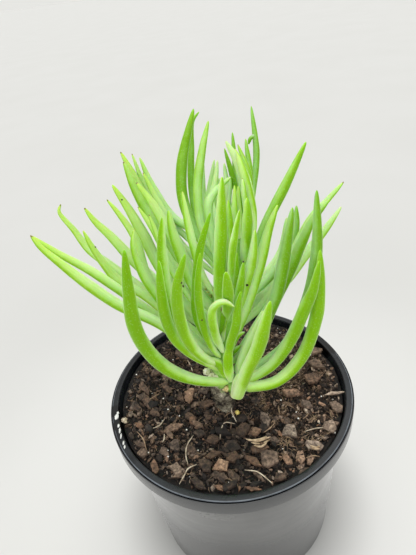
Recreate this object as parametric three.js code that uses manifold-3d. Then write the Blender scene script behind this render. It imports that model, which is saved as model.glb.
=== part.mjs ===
// Potted crested chalk sticks: a succulent with a thick grey stem, a flattened crest and many
// finger-like leaves, growing in bark mix in a round nursery pot.
// Millimetres, +Z up. The origin is the centre of the pot's underside, and -Y is the front.
import * as THREE from 'three';
import * as BufferGeometryUtils from 'three/addons/utils/BufferGeometryUtils.js';
import Module from 'manifold-3d';

const wasm = await Module();
wasm.setup();

// Driving dimensions of the pot and the soil
const POT_HEIGHT = 122;
const RIM_RADIUS = 75.6;
const RIM_RING_WIDTH = 5;
const RIM_SKIRT_HEIGHT = 10.5;
const RIM_ROUNDING = 1.2;
const BASE_RADIUS = 62.9;
const WALL = 1.4;
const FLOOR = 2;
const SOIL_BELOW_RIM = 8;
const SOIL_DOME = 1.5;
const DRAIN_HOLES = 6;
const DRAIN_RADIUS = 4.5;
const DRAIN_CIRCLE = 46;
const POT_SIDES = 56;

// Driving dimensions of the plant
const CLEARANCE = 0.3;
const STEM_SIDES = 16;
const LEAF_SIDES = 6;
const LEAF_STATIONS = [0, 0.1, 0.22, 0.35, 0.48, 0.6, 0.72, 0.82, 0.9, 0.96];
const LEAF_FOOT = 0.6;
const LEAF_SWELL_END = 0.3;
const LEAF_TAPER_START = 0.68;
const LEAF_TAPER_POWER = 0.45;
const FOOT_ROUNDING = 0.2;

// Surface finishes
const blackPlastic = { color: 0x2b2d30, roughness: 0.45, metalness: 0 };
const darkBarkMix = { color: 0x33251c, roughness: 0.95, metalness: 0 };
const greyBark = { color: 0x77735f, roughness: 0.9, metalness: 0 };
const leafGreen = { color: 0x8cc24a, roughness: 0.55, metalness: 0 };

function finish(look) {
  return new THREE.MeshStandardMaterial(look);
}

// A closed geometry as a solid that can be joined and cut
function toSolid(geometry) {
  const bare = geometry.clone();
  bare.deleteAttribute('normal');
  bare.deleteAttribute('uv');
  const merged = BufferGeometryUtils.mergeVertices(bare, 1e-4);
  const vertProperties = Float32Array.from(merged.attributes.position.array);
  const triVerts = Uint32Array.from(merged.index.array);
  return new wasm.Manifold(new wasm.Mesh({ numProp: 3, vertProperties, triVerts }));
}

function toGeometry(solid) {
  const mesh = solid.getMesh();
  const geometry = new THREE.BufferGeometry();
  geometry.setAttribute('position', new THREE.BufferAttribute(Float32Array.from(mesh.vertProperties), 3));
  geometry.setIndex(new THREE.BufferAttribute(Uint32Array.from(mesh.triVerts), 1));
  geometry.computeVertexNormals();
  return geometry;
}

// Rings of equal point count, joined into one skin and closed by a point at each end
function skin(rings, firstPoint, lastPoint) {
  const sides = rings[0].length;
  const positions = [];
  const index = [];
  for (const ring of rings) {
    for (const point of ring) {
      positions.push(point.x, point.y, point.z);
    }
  }
  const first = rings.length * sides;
  const last = first + 1;
  positions.push(firstPoint.x, firstPoint.y, firstPoint.z);
  positions.push(lastPoint.x, lastPoint.y, lastPoint.z);
  for (let side = 0; side < sides; side += 1) {
    const next = (side + 1) % sides;
    index.push(first, next, side);
    for (let row = 0; row < rings.length - 1; row += 1) {
      const low = row * sides;
      const high = low + sides;
      index.push(low + side, low + next, high + next);
      index.push(low + side, high + next, high + side);
    }
    const top = (rings.length - 1) * sides;
    index.push(last, top + side, top + next);
  }
  const geometry = new THREE.BufferGeometry();
  geometry.setAttribute('position', new THREE.Float32BufferAttribute(positions, 3));
  geometry.setIndex(index);
  return geometry;
}

// The pot: one moulded shell with a thin wall, a folded rim and drain holes in its floor
function potProfile() {
  const top = POT_HEIGHT;
  const skirtFoot = top - RIM_SKIRT_HEIGHT;
  const ringInside = RIM_RADIUS - RIM_RING_WIDTH;
  const neck = ringInside - WALL;
  const points = [
    [0, 0],
    [BASE_RADIUS, 0],
    [neck, skirtFoot - 4],
    [neck + WALL, skirtFoot],
    [ringInside + WALL, top - 2.5 * RIM_ROUNDING],
    [RIM_RADIUS - WALL - 0.4, top - 2.5 * RIM_ROUNDING],
    [RIM_RADIUS - WALL, skirtFoot],
    [RIM_RADIUS, skirtFoot],
    [RIM_RADIUS - 0.3, top - RIM_ROUNDING],
    [RIM_RADIUS - RIM_ROUNDING, top],
    [ringInside + RIM_ROUNDING, top],
    [ringInside, top - RIM_ROUNDING],
    [neck, skirtFoot],
    [neck - WALL, skirtFoot - 4],
    [BASE_RADIUS - WALL, FLOOR],
    [0, FLOOR],
  ];
  return points.map(([radius, height]) => new THREE.Vector2(radius, height));
}

function nurseryPot() {
  let pot = toSolid(upright(new THREE.LatheGeometry(potProfile(), POT_SIDES)));
  for (let hole = 0; hole < DRAIN_HOLES; hole += 1) {
    const angle = ((hole + 0.5) / DRAIN_HOLES) * 2 * Math.PI;
    const drill = upright(new THREE.CylinderGeometry(DRAIN_RADIUS, DRAIN_RADIUS, 4 * FLOOR, 12));
    drill.translate(DRAIN_CIRCLE * Math.cos(angle), DRAIN_CIRCLE * Math.sin(angle), 0);
    pot = pot.subtract(toSolid(drill));
  }
  return toGeometry(pot);
}

// Lathe and cylinder geometry stands on Y, and the part stands on Z
function upright(geometry) {
  return geometry.rotateX(Math.PI / 2);
}

// The soil: one plug that fills the pot and closes round the foot of the stem
function pottingSoil(stemWithRoom) {
  const surface = POT_HEIGHT - SOIL_BELOW_RIM;
  const skirtFoot = POT_HEIGHT - RIM_SKIRT_HEIGHT;
  const neckInside = RIM_RADIUS - RIM_RING_WIDTH - 2 * WALL;
  const profile = [
    [0, FLOOR + CLEARANCE],
    [BASE_RADIUS - WALL - 2 * CLEARANCE, FLOOR + CLEARANCE],
    [neckInside - 2 * CLEARANCE, skirtFoot - 4],
    [neckInside + WALL - 2 * CLEARANCE, skirtFoot],
    [neckInside + WALL - CLEARANCE, surface - 1],
    [neckInside + WALL - 4, surface],
    [neckInside / 2, surface + 0.6 * SOIL_DOME],
    [0, surface + SOIL_DOME],
  ];
  const points = profile.map(([radius, height]) => new THREE.Vector2(radius, height));
  const plug = toSolid(upright(new THREE.LatheGeometry(points, POT_SIDES)));
  return toGeometry(plug.subtract(stemWithRoom));
}

// The stem: round where it leaves the soil, then flattened into a crest seen on edge from the front.
// Each section is [height, centre x, centre y, half width in x, half width in y].
const STEM_SECTIONS = [
  [106, -4.0, -11.5, 4.0, 4.0],
  [115, -4.0, -11.4, 4.8, 5.0],
  [123, -4.2, -11.2, 6.0, 6.2],
  [132, -4.5, -10.8, 7.0, 7.4],
  [140, -4.0, -9.5, 7.0, 10.0],
  [148, -3.0, -5.5, 6.8, 14.5],
  [156, -1.5, -3.0, 6.5, 17.0],
  [168, 0.0, -2.0, 6.5, 17.0],
  [180, 2.0, -1.5, 6.5, 16.0],
  [193, 5.0, -1.0, 7.0, 15.0],
  [207, 9.0, 0.0, 8.0, 13.5],
  [220, 13.0, 2.0, 8.5, 11.5],
  [230, 15.5, 4.0, 6.5, 8.5],
  [235, 16.5, 5.0, 3.5, 4.5],
];
const STEM_CAP = 2;
const SHOOT_CENTRE = new THREE.Vector3(3, -17, 140);
const SHOOT_HALF_SIZE = new THREE.Vector3(6.5, 7, 7);

function stemRing([height, centreX, centreY, halfX, halfY], grow) {
  const ring = [];
  for (let side = 0; side < STEM_SIDES; side += 1) {
    const angle = (side / STEM_SIDES) * 2 * Math.PI;
    const x = centreX + (halfX + grow) * Math.cos(angle);
    const y = centreY + (halfY + grow) * Math.sin(angle);
    ring.push(new THREE.Vector3(x, y, height));
  }
  return ring;
}

function crestedStem(grow) {
  const rings = STEM_SECTIONS.map((section) => stemRing(section, grow));
  const foot = STEM_SECTIONS[0];
  const head = STEM_SECTIONS[STEM_SECTIONS.length - 1];
  const footPoint = new THREE.Vector3(foot[1], foot[2], foot[0] - STEM_CAP - grow);
  const headPoint = new THREE.Vector3(head[1], head[2], head[0] + STEM_CAP + grow);
  return toSolid(skin(rings, footPoint, headPoint));
}

function sideShoot(grow) {
  const ball = new THREE.SphereGeometry(1, 12, 8);
  ball.scale(SHOOT_HALF_SIZE.x + grow, SHOOT_HALF_SIZE.y + grow, SHOOT_HALF_SIZE.z + grow);
  ball.translate(SHOOT_CENTRE.x, SHOOT_CENTRE.y, SHOOT_CENTRE.z);
  return toSolid(ball);
}

// Leaf thickness as a share of its full thickness. along is 0 at the foot and 1 at the tip.
function leafShare(along, foot) {
  const swell = THREE.MathUtils.clamp(along / LEAF_SWELL_END, 0, 1);
  const taper = THREE.MathUtils.clamp((1 - along) / (1 - LEAF_TAPER_START), 0, 1);
  return (foot + (1 - foot) * swell) * taper ** LEAF_TAPER_POWER;
}

// One leaf: rings across a smooth curve through its points, closed at foot and tip.
// grow widens it all over, to cut room for it in a neighbour.
function leafGeometry(leaf, grow) {
  const curve = new THREE.CatmullRomCurve3(leaf.path.map((point) => new THREE.Vector3(...point)));
  const across = new THREE.Vector3(0, 1, 0);
  const rings = LEAF_STATIONS.map((along) => {
    const radius = (leaf.thick / 2) * leafShare(along, leaf.foot ?? LEAF_FOOT) + grow;
    const centre = curve.getPointAt(along);
    const direction = curve.getTangentAt(along);
    across.addScaledVector(direction, -across.dot(direction)).normalize();
    const upward = direction.clone().cross(across);
    const ring = [];
    for (let side = 0; side < LEAF_SIDES; side += 1) {
      const angle = (side / LEAF_SIDES) * 2 * Math.PI;
      const point = centre.clone();
      point.addScaledVector(across, radius * Math.cos(angle));
      point.addScaledVector(upward, radius * Math.sin(angle));
      ring.push(point);
    }
    return ring;
  });
  const rounding = FOOT_ROUNDING * leaf.thick + grow;
  const footPoint = curve.getPointAt(0).addScaledVector(curve.getTangentAt(0), -rounding);
  const tipPoint = curve.getPointAt(1).addScaledVector(curve.getTangentAt(1), grow);
  return skin(rings, footPoint, tipPoint);
}

// The leaves, group by group. thick is the full thickness, and path runs from the foot on the stem
// to the tip. foot is the share of the thickness kept at the foot, where that end shows.
const frontLeaves = [
  {
    name: 'front_blunt', thick: 7.1, foot: 1,
    path: [[3, -25, 140], [10, -29, 164], [16, -32, 181], [20, -35, 199], [23, -36, 213]],
  },
  { name: 'front_second', thick: 5.9, path: [[4, -19, 143], [8, -19, 159], [13, -19, 172], [22, -19, 194]] },
  {
    name: 'left_arc', thick: 7.2,
    path: [
      [0, -21, 148], [-16, -23, 155], [-30, -25, 168], [-38, -27, 185], [-41, -29, 204], [-39, -30, 226],
      [-36, -31, 247],
    ],
  },
  {
    name: 'young_upright', thick: 4.7,
    path: [[1, -19, 160], [3, -22, 177], [7, -25, 192], [9, -26, 205], [11, -27, 214]],
  },
  {
    name: 'front_hook', thick: 4.5,
    path: [[-1, -19, 170], [-4, -28, 194], [-3, -29, 208], [2, -30, 212], [7, -30, 208]],
  },
];

const rightLeaves = [
  {
    name: 'right_arc_outer', thick: 6.9, foot: 0.85,
    path: [[7, -22, 143], [26, -22, 144], [41, -20, 158], [49, -19, 183], [51, -18, 204], [51, -17, 224]],
  },
  {
    name: 'right_arc_inner', thick: 6.4, foot: 0.75,
    path: [[8, -18, 143], [24, -20, 155], [36, -21, 175], [42, -22, 193], [46, -23, 205], [49, -23, 222]],
  },
  {
    name: 'right_dark', thick: 6.6,
    path: [
      [7, -13, 139], [20, -11, 148], [34, -10, 158], [43, -8, 174], [50, -6, 194], [53, -5, 216],
      [53, -3, 248],
    ],
  },
  {
    name: 'right_tall', thick: 6.6,
    path: [[3, -13, 154], [9, -12, 162], [23, -9, 180], [30, -8, 191], [36, -6, 214], [41, -5, 242]],
  },
  {
    name: 'right_bent', thick: 6.5,
    path: [
      [4, -9, 143], [20, -4, 162], [32, 1, 184], [41, 4, 200], [49, 7, 216], [54, 8, 226], [63, 9, 236],
    ],
  },
  {
    name: 'right_far_high', thick: 5.2,
    path: [[6, 2, 164], [27, 10, 176], [45, 19, 198], [59, 25, 219], [67, 27, 226], [77, 28, 236]],
  },
  {
    name: 'right_far_low', thick: 6,
    path: [[5, 8, 165], [27, 18, 174], [43, 24, 179], [57, 31, 191], [70, 35, 204], [80, 38, 216]],
  },
  {
    name: 'right_hook_back', thick: 5.2,
    path: [[7, 9, 179], [26, 24, 182], [37, 32, 186], [44, 38, 192], [49, 44, 211]],
  },
  {
    name: 'right_mid_back', thick: 5.8,
    path: [[7, 5, 177], [27, 16, 185], [38, 22, 191], [46, 26, 199], [51, 30, 211], [52, 32, 224]],
  },
  {
    name: 'right_long', thick: 5.4,
    path: [[11, -2, 200], [23, 4, 216], [32, 9, 231], [42, 13, 246], [53, 16, 265]],
  },
];

const middleLeaves = [
  {
    name: 'mid_right_big', thick: 5.9,
    path: [[3, -15, 167], [13, -10, 187], [22, -5, 207], [30, -1, 230], [35, 0, 242]],
  },
  { name: 'mid_dotted', thick: 5.2, path: [[6, -11, 181], [15, -14, 209], [19, -16, 225], [21, -16, 239]] },
  { name: 'mid_wide', thick: 5.6, path: [[3, -15, 189], [5, -26, 213], [5, -30, 228]] },
  { name: 'mid_tall', thick: 6.2, path: [[0, -13, 177], [2, -13, 210], [6, -12, 240], [9, -12, 265]] },
  { name: 'mid_short', thick: 4.5, path: [[4, -9, 177], [9, -11, 203], [12, -13, 227]] },
  { name: 'top_right_short', thick: 5.1, path: [[15, -8, 218], [18, -12, 238], [19, -13, 254]] },
  {
    name: 'top_right_long', thick: 5.3,
    path: [[17, -2, 214], [22, 2, 231], [22, 7, 250], [18, 9, 264], [14, 10, 273]],
  },
  { name: 'top_tallest', thick: 3.6, path: [[19, 9, 222], [27, 26, 239], [32, 37, 255], [32, 45, 278]] },
];

const crownLeaves = [
  {
    name: 'crown_left_long', thick: 5.8,
    path: [[5, 4, 208], [-3, 12, 220], [-10, 23, 240], [-8, 30, 258], [2, 36, 283]],
  },
  {
    name: 'crown_left_thin', thick: 3.8,
    path: [[6, 9, 209], [-3, 21, 220], [-5, 35, 241], [-2, 44, 260], [1, 48, 274], [5, 49, 278]],
  },
  {
    name: 'crown_middle', thick: 4.8,
    path: [[5, 1, 214], [-2, 9, 228], [-2, 17, 248], [3, 22, 266], [8, 25, 279]],
  },
  {
    name: 'crown_hook', thick: 4.3,
    path: [[3, -4, 212], [2, -2, 231], [2, 0, 247], [6, 1, 253], [14, 1, 259]],
  },
];

const leftHighLeaves = [
  {
    name: 'left_high_back', thick: 5.8,
    path: [[1, 10, 183], [-13, 25, 198], [-26, 40, 222], [-36, 50, 248], [-41, 53, 262]],
  },
  {
    name: 'left_high_long', thick: 6.1,
    path: [[-1, 6, 180], [-23, 28, 215], [-35, 39, 241], [-39, 42, 260]],
  },
  {
    name: 'left_high_thin', thick: 3.7,
    path: [[3, 12, 201], [-10, 28, 214], [-16, 34, 219], [-25, 42, 231], [-32, 50, 245], [-35, 53, 260]],
  },
  {
    name: 'left_high_dark', thick: 4.6,
    path: [[5, 11, 208], [-6, 27, 219], [-18, 37, 226], [-27, 47, 243], [-31, 51, 258]],
  },
  {
    name: 'left_high_pale', thick: 5.7,
    path: [[0, 2, 189], [-12, 14, 205], [-20, 22, 223], [-27, 28, 240], [-33, 30, 252]],
  },
  {
    name: 'left_high_last', thick: 4.2,
    path: [[3, 8, 200], [-10, 21, 208], [-17, 28, 216], [-22, 35, 229], [-27, 41, 242], [-30, 43, 252]],
  },
  {
    name: 'left_bright', thick: 4.1,
    path: [[1, -9, 197], [-6, -7, 213], [-8, -6, 230], [-9, -5, 246], [-9, -5, 258]],
  },
  {
    name: 'left_pale', thick: 6,
    path: [[-1, -7, 184], [-11, -4, 204], [-15, -2, 223], [-17, -1, 237], [-17, -1, 248]],
  },
];

const leftLeaves = [
  {
    name: 'left_tall', thick: 6.1,
    path: [
      [-4, -15, 163], [-15, -16, 177], [-22, -16, 195], [-24, -17, 216], [-22, -17, 238],
      [-19, -18, 253],
    ],
  },
  {
    name: 'left_front_low', thick: 5.7,
    path: [
      [-4, -18, 156], [-16, -22, 173], [-24, -25, 190], [-26, -27, 206], [-25, -29, 223],
      [-23, -30, 239],
    ],
  },
  {
    name: 'left_front_mid', thick: 5.7,
    path: [
      [-3, -19, 161], [-11, -24, 172], [-17, -28, 188], [-19, -32, 208], [-17, -36, 228],
      [-11, -38, 245],
    ],
  },
  {
    name: 'left_front_thin', thick: 4,
    path: [[-3, -18, 165], [-7, -22, 179], [-9, -24, 195], [-9, -27, 214], [-7, -29, 230], [-5, -29, 239]],
  },
  {
    name: 'left_front_high', thick: 4.5,
    path: [[-3, -15, 169], [-9, -16, 180], [-12, -16, 197], [-10, -16, 211], [-5, -16, 233], [2, -16, 251]],
  },
  {
    name: 'left_small_high', thick: 3.9,
    path: [[-1, -2, 184], [-21, 9, 213], [-28, 13, 233], [-33, 15, 245]],
  },
  {
    name: 'left_small_low', thick: 3.9,
    path: [[-2, -9, 173], [-12, -4, 193], [-21, 0, 214], [-25, 3, 233], [-27, 4, 245]],
  },
  {
    name: 'left_blunt', thick: 4.7,
    path: [
      [-4, -11, 160], [-22, -7, 183], [-30, -5, 200], [-35, -4, 214], [-37, -3, 225], [-37, -3, 234],
      [-35, -2, 241],
    ],
  },
  {
    name: 'left_mid_high', thick: 6.8,
    path: [[-3, 4, 158], [-18, 16, 178], [-30, 25, 202], [-36, 31, 221], [-41, 35, 235], [-47, 37, 250]],
  },
  {
    name: 'left_mid_front', thick: 5.1,
    path: [[-3, 0, 155], [-28, 10, 181], [-37, 16, 205], [-39, 20, 225], [-44, 22, 238], [-49, 23, 248]],
  },
  {
    name: 'left_mid_back', thick: 6.7,
    path: [
      [-3, 10, 150], [-21, 24, 171], [-38, 34, 190], [-47, 39, 201], [-57, 44, 216], [-64, 46, 226],
      [-68, 47, 235],
    ],
  },
  {
    name: 'left_low_inner', thick: 5.7,
    path: [
      [-4, 2, 150], [-31, 13, 178], [-43, 17, 191], [-54, 20, 199], [-60, 22, 211], [-64, 23, 223],
      [-66, 24, 232],
    ],
  },
  {
    name: 'left_low_hooked', thick: 5.3,
    path: [
      [-4, 7, 146], [-32, 23, 174], [-47, 30, 189], [-59, 34, 201], [-70, 38, 212], [-76, 41, 225],
      [-81, 42, 237], [-79, 43, 241],
    ],
  },
  {
    name: 'left_twin_back', thick: 5,
    path: [[-5, -4, 151], [-37, -3, 192], [-49, -3, 208], [-61, -2, 222], [-73, -2, 234], [-83, -2, 246]],
  },
  {
    name: 'left_twin_front', thick: 5.6,
    path: [
      [-5, -14, 156], [-32, -14, 192], [-49, -14, 207], [-60, -14, 221], [-70, -14, 236], [-76, -14, 246],
      [-78, -14, 252],
    ],
  },
];

// Leaves on the far side of the crest
const backLeaves = [
  { name: 'back_centre', thick: 6, path: [[0, 13, 172], [4, 40, 178], [8, 66, 196]] },
  { name: 'back_left', thick: 6, path: [[-2, 12, 163], [-12, 40, 170], [-22, 66, 186]] },
  { name: 'back_right', thick: 6, path: [[5, 13, 182], [18, 38, 187], [30, 62, 204]] },
  { name: 'back_left_low', thick: 6, path: [[-4, 9, 158], [-22, 30, 163], [-46, 48, 182]] },
  { name: 'back_right_low', thick: 6, path: [[4, 11, 167], [30, 30, 169], [54, 46, 184]] },
  { name: 'back_upright', thick: 5.5, path: [[4, 13, 192], [6, 36, 206], [6, 56, 228]] },
];

// Young leaves still fused to the growing edge, so they are part of the stem's own solid
const youngLeaves = [
  { thick: 3.4, path: [[1, -17, 162], [5, -16, 173], [9, -15, 177], [12, -15, 178]] },
  { thick: 2.4, path: [[0, -17, 175], [1, -17, 184], [4, -16, 194]] },
  { thick: 4.2, path: [[5, -12, 183], [11, -19, 208], [14, -21, 226]] },
  { thick: 3.8, path: [[6, -11, 209], [10, -9, 233], [11, -8, 252]] },
  { thick: 3.6, path: [[7, -11, 205], [10, -22, 236], [14, -24, 254]] },
  { thick: 3.3, path: [[10, -7, 217], [13, -4, 237], [15, -2, 256]] },
  { thick: 3.9, path: [[13, -6, 217], [16, -1, 237], [17, 1, 254]] },
  { thick: 3.0, path: [[15, 3, 227], [17, 15, 246], [14, 21, 266]] },
  { thick: 3.1, path: [[17, 7, 226], [19, 26, 247], [20, 35, 269]] },
  { thick: 3.0, path: [[17, 5, 229], [19, 16, 246], [19, 22, 264]] },
  { thick: 3.3, path: [[19, 5, 226], [25, 19, 249], [21, 24, 266]] },
  { thick: 3.6, path: [[19, 8, 222], [26, 25, 246], [26, 31, 266]] },
  { thick: 3.2, path: [[6, 8, 217], [1, 17, 225], [1, 30, 243], [4, 37, 264]] },
  { thick: 3.1, path: [[6, 7, 219], [1, 18, 233], [5, 26, 246], [9, 30, 258]] },
  { thick: 3.5, path: [[6, 2, 221], [2, 12, 238], [7, 17, 250], [10, 20, 261]] },
  { thick: 2.1, path: [[9, 6, 226], [7, 20, 243], [10, 22, 251]] },
  { thick: 3.0, path: [[11, 6, 229], [13, 15, 244], [13, 20, 259]] },
  { thick: 4.5, path: [[10, 10, 200], [18, 34, 214], [24, 52, 238]] },
  { thick: 5.0, path: [[3, 10, 158], [10, 36, 156], [16, 60, 168]] },
];

const leaves = [
  ...frontLeaves,
  ...rightLeaves,
  ...middleLeaves,
  ...leftLeaves,
  ...crownLeaves,
  ...leftHighLeaves,
  ...backLeaves,
];

// The stem with its side shoot and its young leaves. Where it is grown, it cuts room for itself.
function wholeStem(grow) {
  let stem = crestedStem(grow).add(sideShoot(grow));
  for (const leaf of youngLeaves) {
    stem = stem.add(toSolid(leafGeometry(leaf, grow)));
  }
  return stem;
}

// The largest separate piece of a solid that a cut may have left in several
function largestPiece(solid) {
  const pieces = solid.decompose();
  return pieces.reduce((best, piece) => (piece.volume() > best.volume() ? piece : best));
}

// A leaf gives way to the stem and to the leaves before it, where they press on each other
function fitLeaf(leaf, stemWithRoom, earlierLeavesWithRoom) {
  let solid = toSolid(leafGeometry(leaf, 0)).subtract(stemWithRoom);
  for (const neighbour of earlierLeavesWithRoom) {
    solid = solid.subtract(neighbour);
  }
  return toGeometry(largestPiece(solid));
}

const plant = new THREE.Group();

function addPiece(name, geometry, look) {
  const mesh = new THREE.Mesh(geometry, finish(look));
  mesh.name = name;
  plant.add(mesh);
}

const stemWithRoom = wholeStem(CLEARANCE);
addPiece('nursery_pot', nurseryPot(), blackPlastic);
addPiece('potting_soil', pottingSoil(stemWithRoom), darkBarkMix);
addPiece('crested_stem', toGeometry(wholeStem(0)), greyBark);

const leavesWithRoom = [];
for (const leaf of leaves) {
  addPiece(`leaf_${leaf.name}`, fitLeaf(leaf, stemWithRoom, leavesWithRoom), leafGreen);
  leavesWithRoom.push(toSolid(leafGeometry(leaf, CLEARANCE)));
}

export default plant;
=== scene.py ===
# %% [markdown]
# # Potted crested chalk sticks
#
# The real object is a young crested chalk sticks plant in a round black nursery pot. It is mostly
# leaves: smooth green fingers, each a little different, that leave a flattened stem. This notebook
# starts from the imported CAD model, which fixes every size and place, and builds the fine shapes and
# the finishes around it. Everything is in metres, and +Z is up.

# %% The frame and its size
import math

import bmesh
import bpy
import numpy as np
from mathutils import Matrix, Vector, noise


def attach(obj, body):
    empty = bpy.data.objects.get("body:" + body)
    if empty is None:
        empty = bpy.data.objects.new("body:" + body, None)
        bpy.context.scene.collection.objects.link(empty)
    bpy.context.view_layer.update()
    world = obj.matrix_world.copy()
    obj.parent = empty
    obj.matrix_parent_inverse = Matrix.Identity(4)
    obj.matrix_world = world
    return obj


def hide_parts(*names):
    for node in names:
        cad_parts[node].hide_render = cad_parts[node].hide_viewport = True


MM = 0.001
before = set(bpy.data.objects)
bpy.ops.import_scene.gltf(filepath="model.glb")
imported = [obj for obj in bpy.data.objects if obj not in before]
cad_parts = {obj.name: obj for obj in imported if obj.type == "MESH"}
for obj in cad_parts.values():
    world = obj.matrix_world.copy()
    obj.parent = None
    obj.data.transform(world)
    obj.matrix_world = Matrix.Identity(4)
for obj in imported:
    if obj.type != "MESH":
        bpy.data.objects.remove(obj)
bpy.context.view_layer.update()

# %% [markdown]
# ## The camera
#
# A picture of a round rim tells where the camera was: the ellipse's shape gives the tilt and its
# size gives the distance. The numbers below were fitted to the rim, so a render lines up with the
# real view. The focal length is in pixels of a picture that is 416 wide and 555 high, and Blender's
# lens value belongs to the longer side. The camera is the first object that a small function puts
# in the scene.

# %% Camera
PICTURE_HEIGHT = 555
FOCAL_LENGTH_IN_PIXELS = 440
FILM_SIZE = 36.0
CAMERA_PLACE = Vector((-3.2, -191.2, 336.6)) * MM
CAMERA_PITCH = math.radians(34.3)
CAMERA_ROLL = math.radians(8.44)
scene = bpy.context.scene


def in_scene(name, data):
    made = bpy.data.objects.new(name, data)
    scene.collection.objects.link(made)
    return made


camera_data = bpy.data.cameras.new("camera")
camera_data.lens = FILM_SIZE * FOCAL_LENGTH_IN_PIXELS / PICTURE_HEIGHT
camera_data.clip_start = 0.01
camera = in_scene("camera", camera_data)
forward = Vector((0, math.cos(CAMERA_PITCH), -math.sin(CAMERA_PITCH)))
level_right = Vector((1, 0, 0))
level_down = forward.cross(level_right)
right = math.cos(CAMERA_ROLL) * level_right + math.sin(CAMERA_ROLL) * level_down
down = math.cos(CAMERA_ROLL) * level_down - math.sin(CAMERA_ROLL) * level_right
turned = Matrix((right, -down, -forward)).transposed().to_4x4()
camera.matrix_world = Matrix.Translation(CAMERA_PLACE) @ turned
scene.camera = camera
print("lens, mm:", round(camera_data.lens, 2))

# %% [markdown]
# ## Helpers for nodes and colours
#
# Colours are chosen as sRGB hex values, as a paint chart gives them, but Blender's nodes work in
# linear light. One function does the turning. The second fills a node's inputs: a socket or a node
# is linked, a colour is turned, and any other value is set on the input itself. A node stands for
# its first output that is in use. Inputs come by name or, where they are counted, as a list. A map
# range, for one, lists its value, then the range that the value comes from, and then the range it
# goes to. The third function adds a node with its settings and links. A kind without the word Node
# is a shader node, and a setting that is a plain word is the node's operation.

# %% Node and colour helpers
COLOURS = {"data_type": "RGBA"}
SMOOTHLY = {"interpolation_type": "SMOOTHSTEP"}


def linear(hex_colour):
    channels = [int(hex_colour[place:place + 2], 16) / 255 for place in (1, 3, 5)]
    return tuple(c / 12.92 if c <= 0.04045 else ((c + 0.055) / 1.055) ** 2.4 for c in channels) + (1.0,)


def fill(node, inputs):
    for name, value in inputs.items() if isinstance(inputs, dict) else enumerate(inputs):
        if isinstance(value, bpy.types.Node):
            value = next(output for output in value.outputs if output.enabled)
        if isinstance(value, bpy.types.NodeSocket):
            node.id_data.links.new(value, node.inputs[name])
        elif isinstance(value, str) and value.startswith("#"):
            node.inputs[name].default_value = linear(value)
        else:
            node.inputs[name].default_value = value


def add(tree, kind, settings=None, inputs=()):
    made = tree.nodes.new(kind if "Node" in kind else "ShaderNode" + kind)
    if isinstance(settings, str):
        settings = {"operation": settings}
    for name, value in (settings or {}).items():
        if name == "stops":
            ramp = made.color_ramp
            while len(ramp.elements) < len(value):
                ramp.elements.new(0.5)
            for element, (place, hex_colour) in zip(ramp.elements, value):
                element.position = place
                element.color = linear(hex_colour)
        else:
            setattr(made, name, value)
    fill(made, inputs)
    return made


def new_material(name):
    material = bpy.data.materials.new(name)
    material.use_nodes = True
    tree = material.node_tree
    return material, tree, tree.nodes["Principled BSDF"]


print("white in linear light:", linear("#ffffff"))

# %% [markdown]
# ## Studio
#
# The plant stands on a plain pale floor in soft daylight. The world gives the light of a white room
# that comes from everywhere, brighter from the ceiling than from the sides. Two very wide suns add
# direction: one from above, a little behind and to the right, rounds the leaves, and a weaker one
# from the front fills the shadows between them. The camera itself sees the room as pale as the
# floor, so no horizon shows.

# %% Light
WALL_LIGHT, CEILING_LIGHT = 0.88, 1.3
ROOM_SEEN = "#e7e7e3"
SUNS = {
    "wide_window_above": (0.85, 50, (-0.15, -0.3, -1.0)),
    "wide_window_in_front": (0.4, 60, (0.1, 1.0, -0.75)),
}
scene.view_settings.view_transform = "Standard"
world = bpy.data.worlds.new("white_room")
world.use_nodes = True
tree = world.node_tree
background = tree.nodes["Background"]
direction = add(tree, "TexCoord").outputs["Generated"]
height = add(tree, "SeparateXYZ", inputs={"Vector": direction}).outputs["Z"]
strength = add(tree, "MapRange", inputs=[height, 0.1, 1, WALL_LIGHT, CEILING_LIGHT])
light = add(tree, "VectorMath", "SCALE", {0: (1.0, 1.0, 0.97), "Scale": strength})
seen = add(tree, "LightPath").outputs["Is Camera Ray"]
shown = add(tree, "Mix", COLOURS, {"Factor": seen, 6: light, 7: ROOM_SEEN})
fill(background, {"Color": shown})
scene.world = world

for name, (energy, angle, heading) in SUNS.items():
    sun_data = bpy.data.lights.new(name, "SUN")
    sun_data.energy = energy
    sun_data.angle = math.radians(angle)
    sun = in_scene(name, sun_data)
    sun.rotation_euler = Vector(heading).to_track_quat("-Z", "Y").to_euler()
print("suns:", list(SUNS))

# %% [markdown]
# The floor is a sheet far larger than the view, painted matt white. Such paint scatters light
# evenly and is a little cloudy. Light and shade are painted into it too: a contact shadow right
# round the pot, a pool of light a hand's width away, and a painted falloff that greys it slightly
# further out. The floor is staging, not part of the object.

# %% Floor
FLOOR_SIZE = 60.0
CLOUDS_PER_METRE = 5.0
LIT_POOL_REACH, LIT_POOL_SHADES = (0.06, 0.32), (1.17, 0.94)
CONTACT_SHADOW_REACH, CONTACT_SHADOW_SHADES = (0.055, 0.105), (0.6, 1.04)
paint, tree, shader = new_material("matte_white_floor_paint")
spot = add(tree, "TexCoord").outputs["Object"]
cloud = add(tree, "TexNoise", inputs={"Vector": spot, "Scale": CLOUDS_PER_METRE})
tint = add(tree, "Mix", COLOURS, {"Factor": cloud, 6: "#bdbdbb", 7: "#c3c3c2"})
reach = add(tree, "VectorMath", "LENGTH", [spot])
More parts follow.
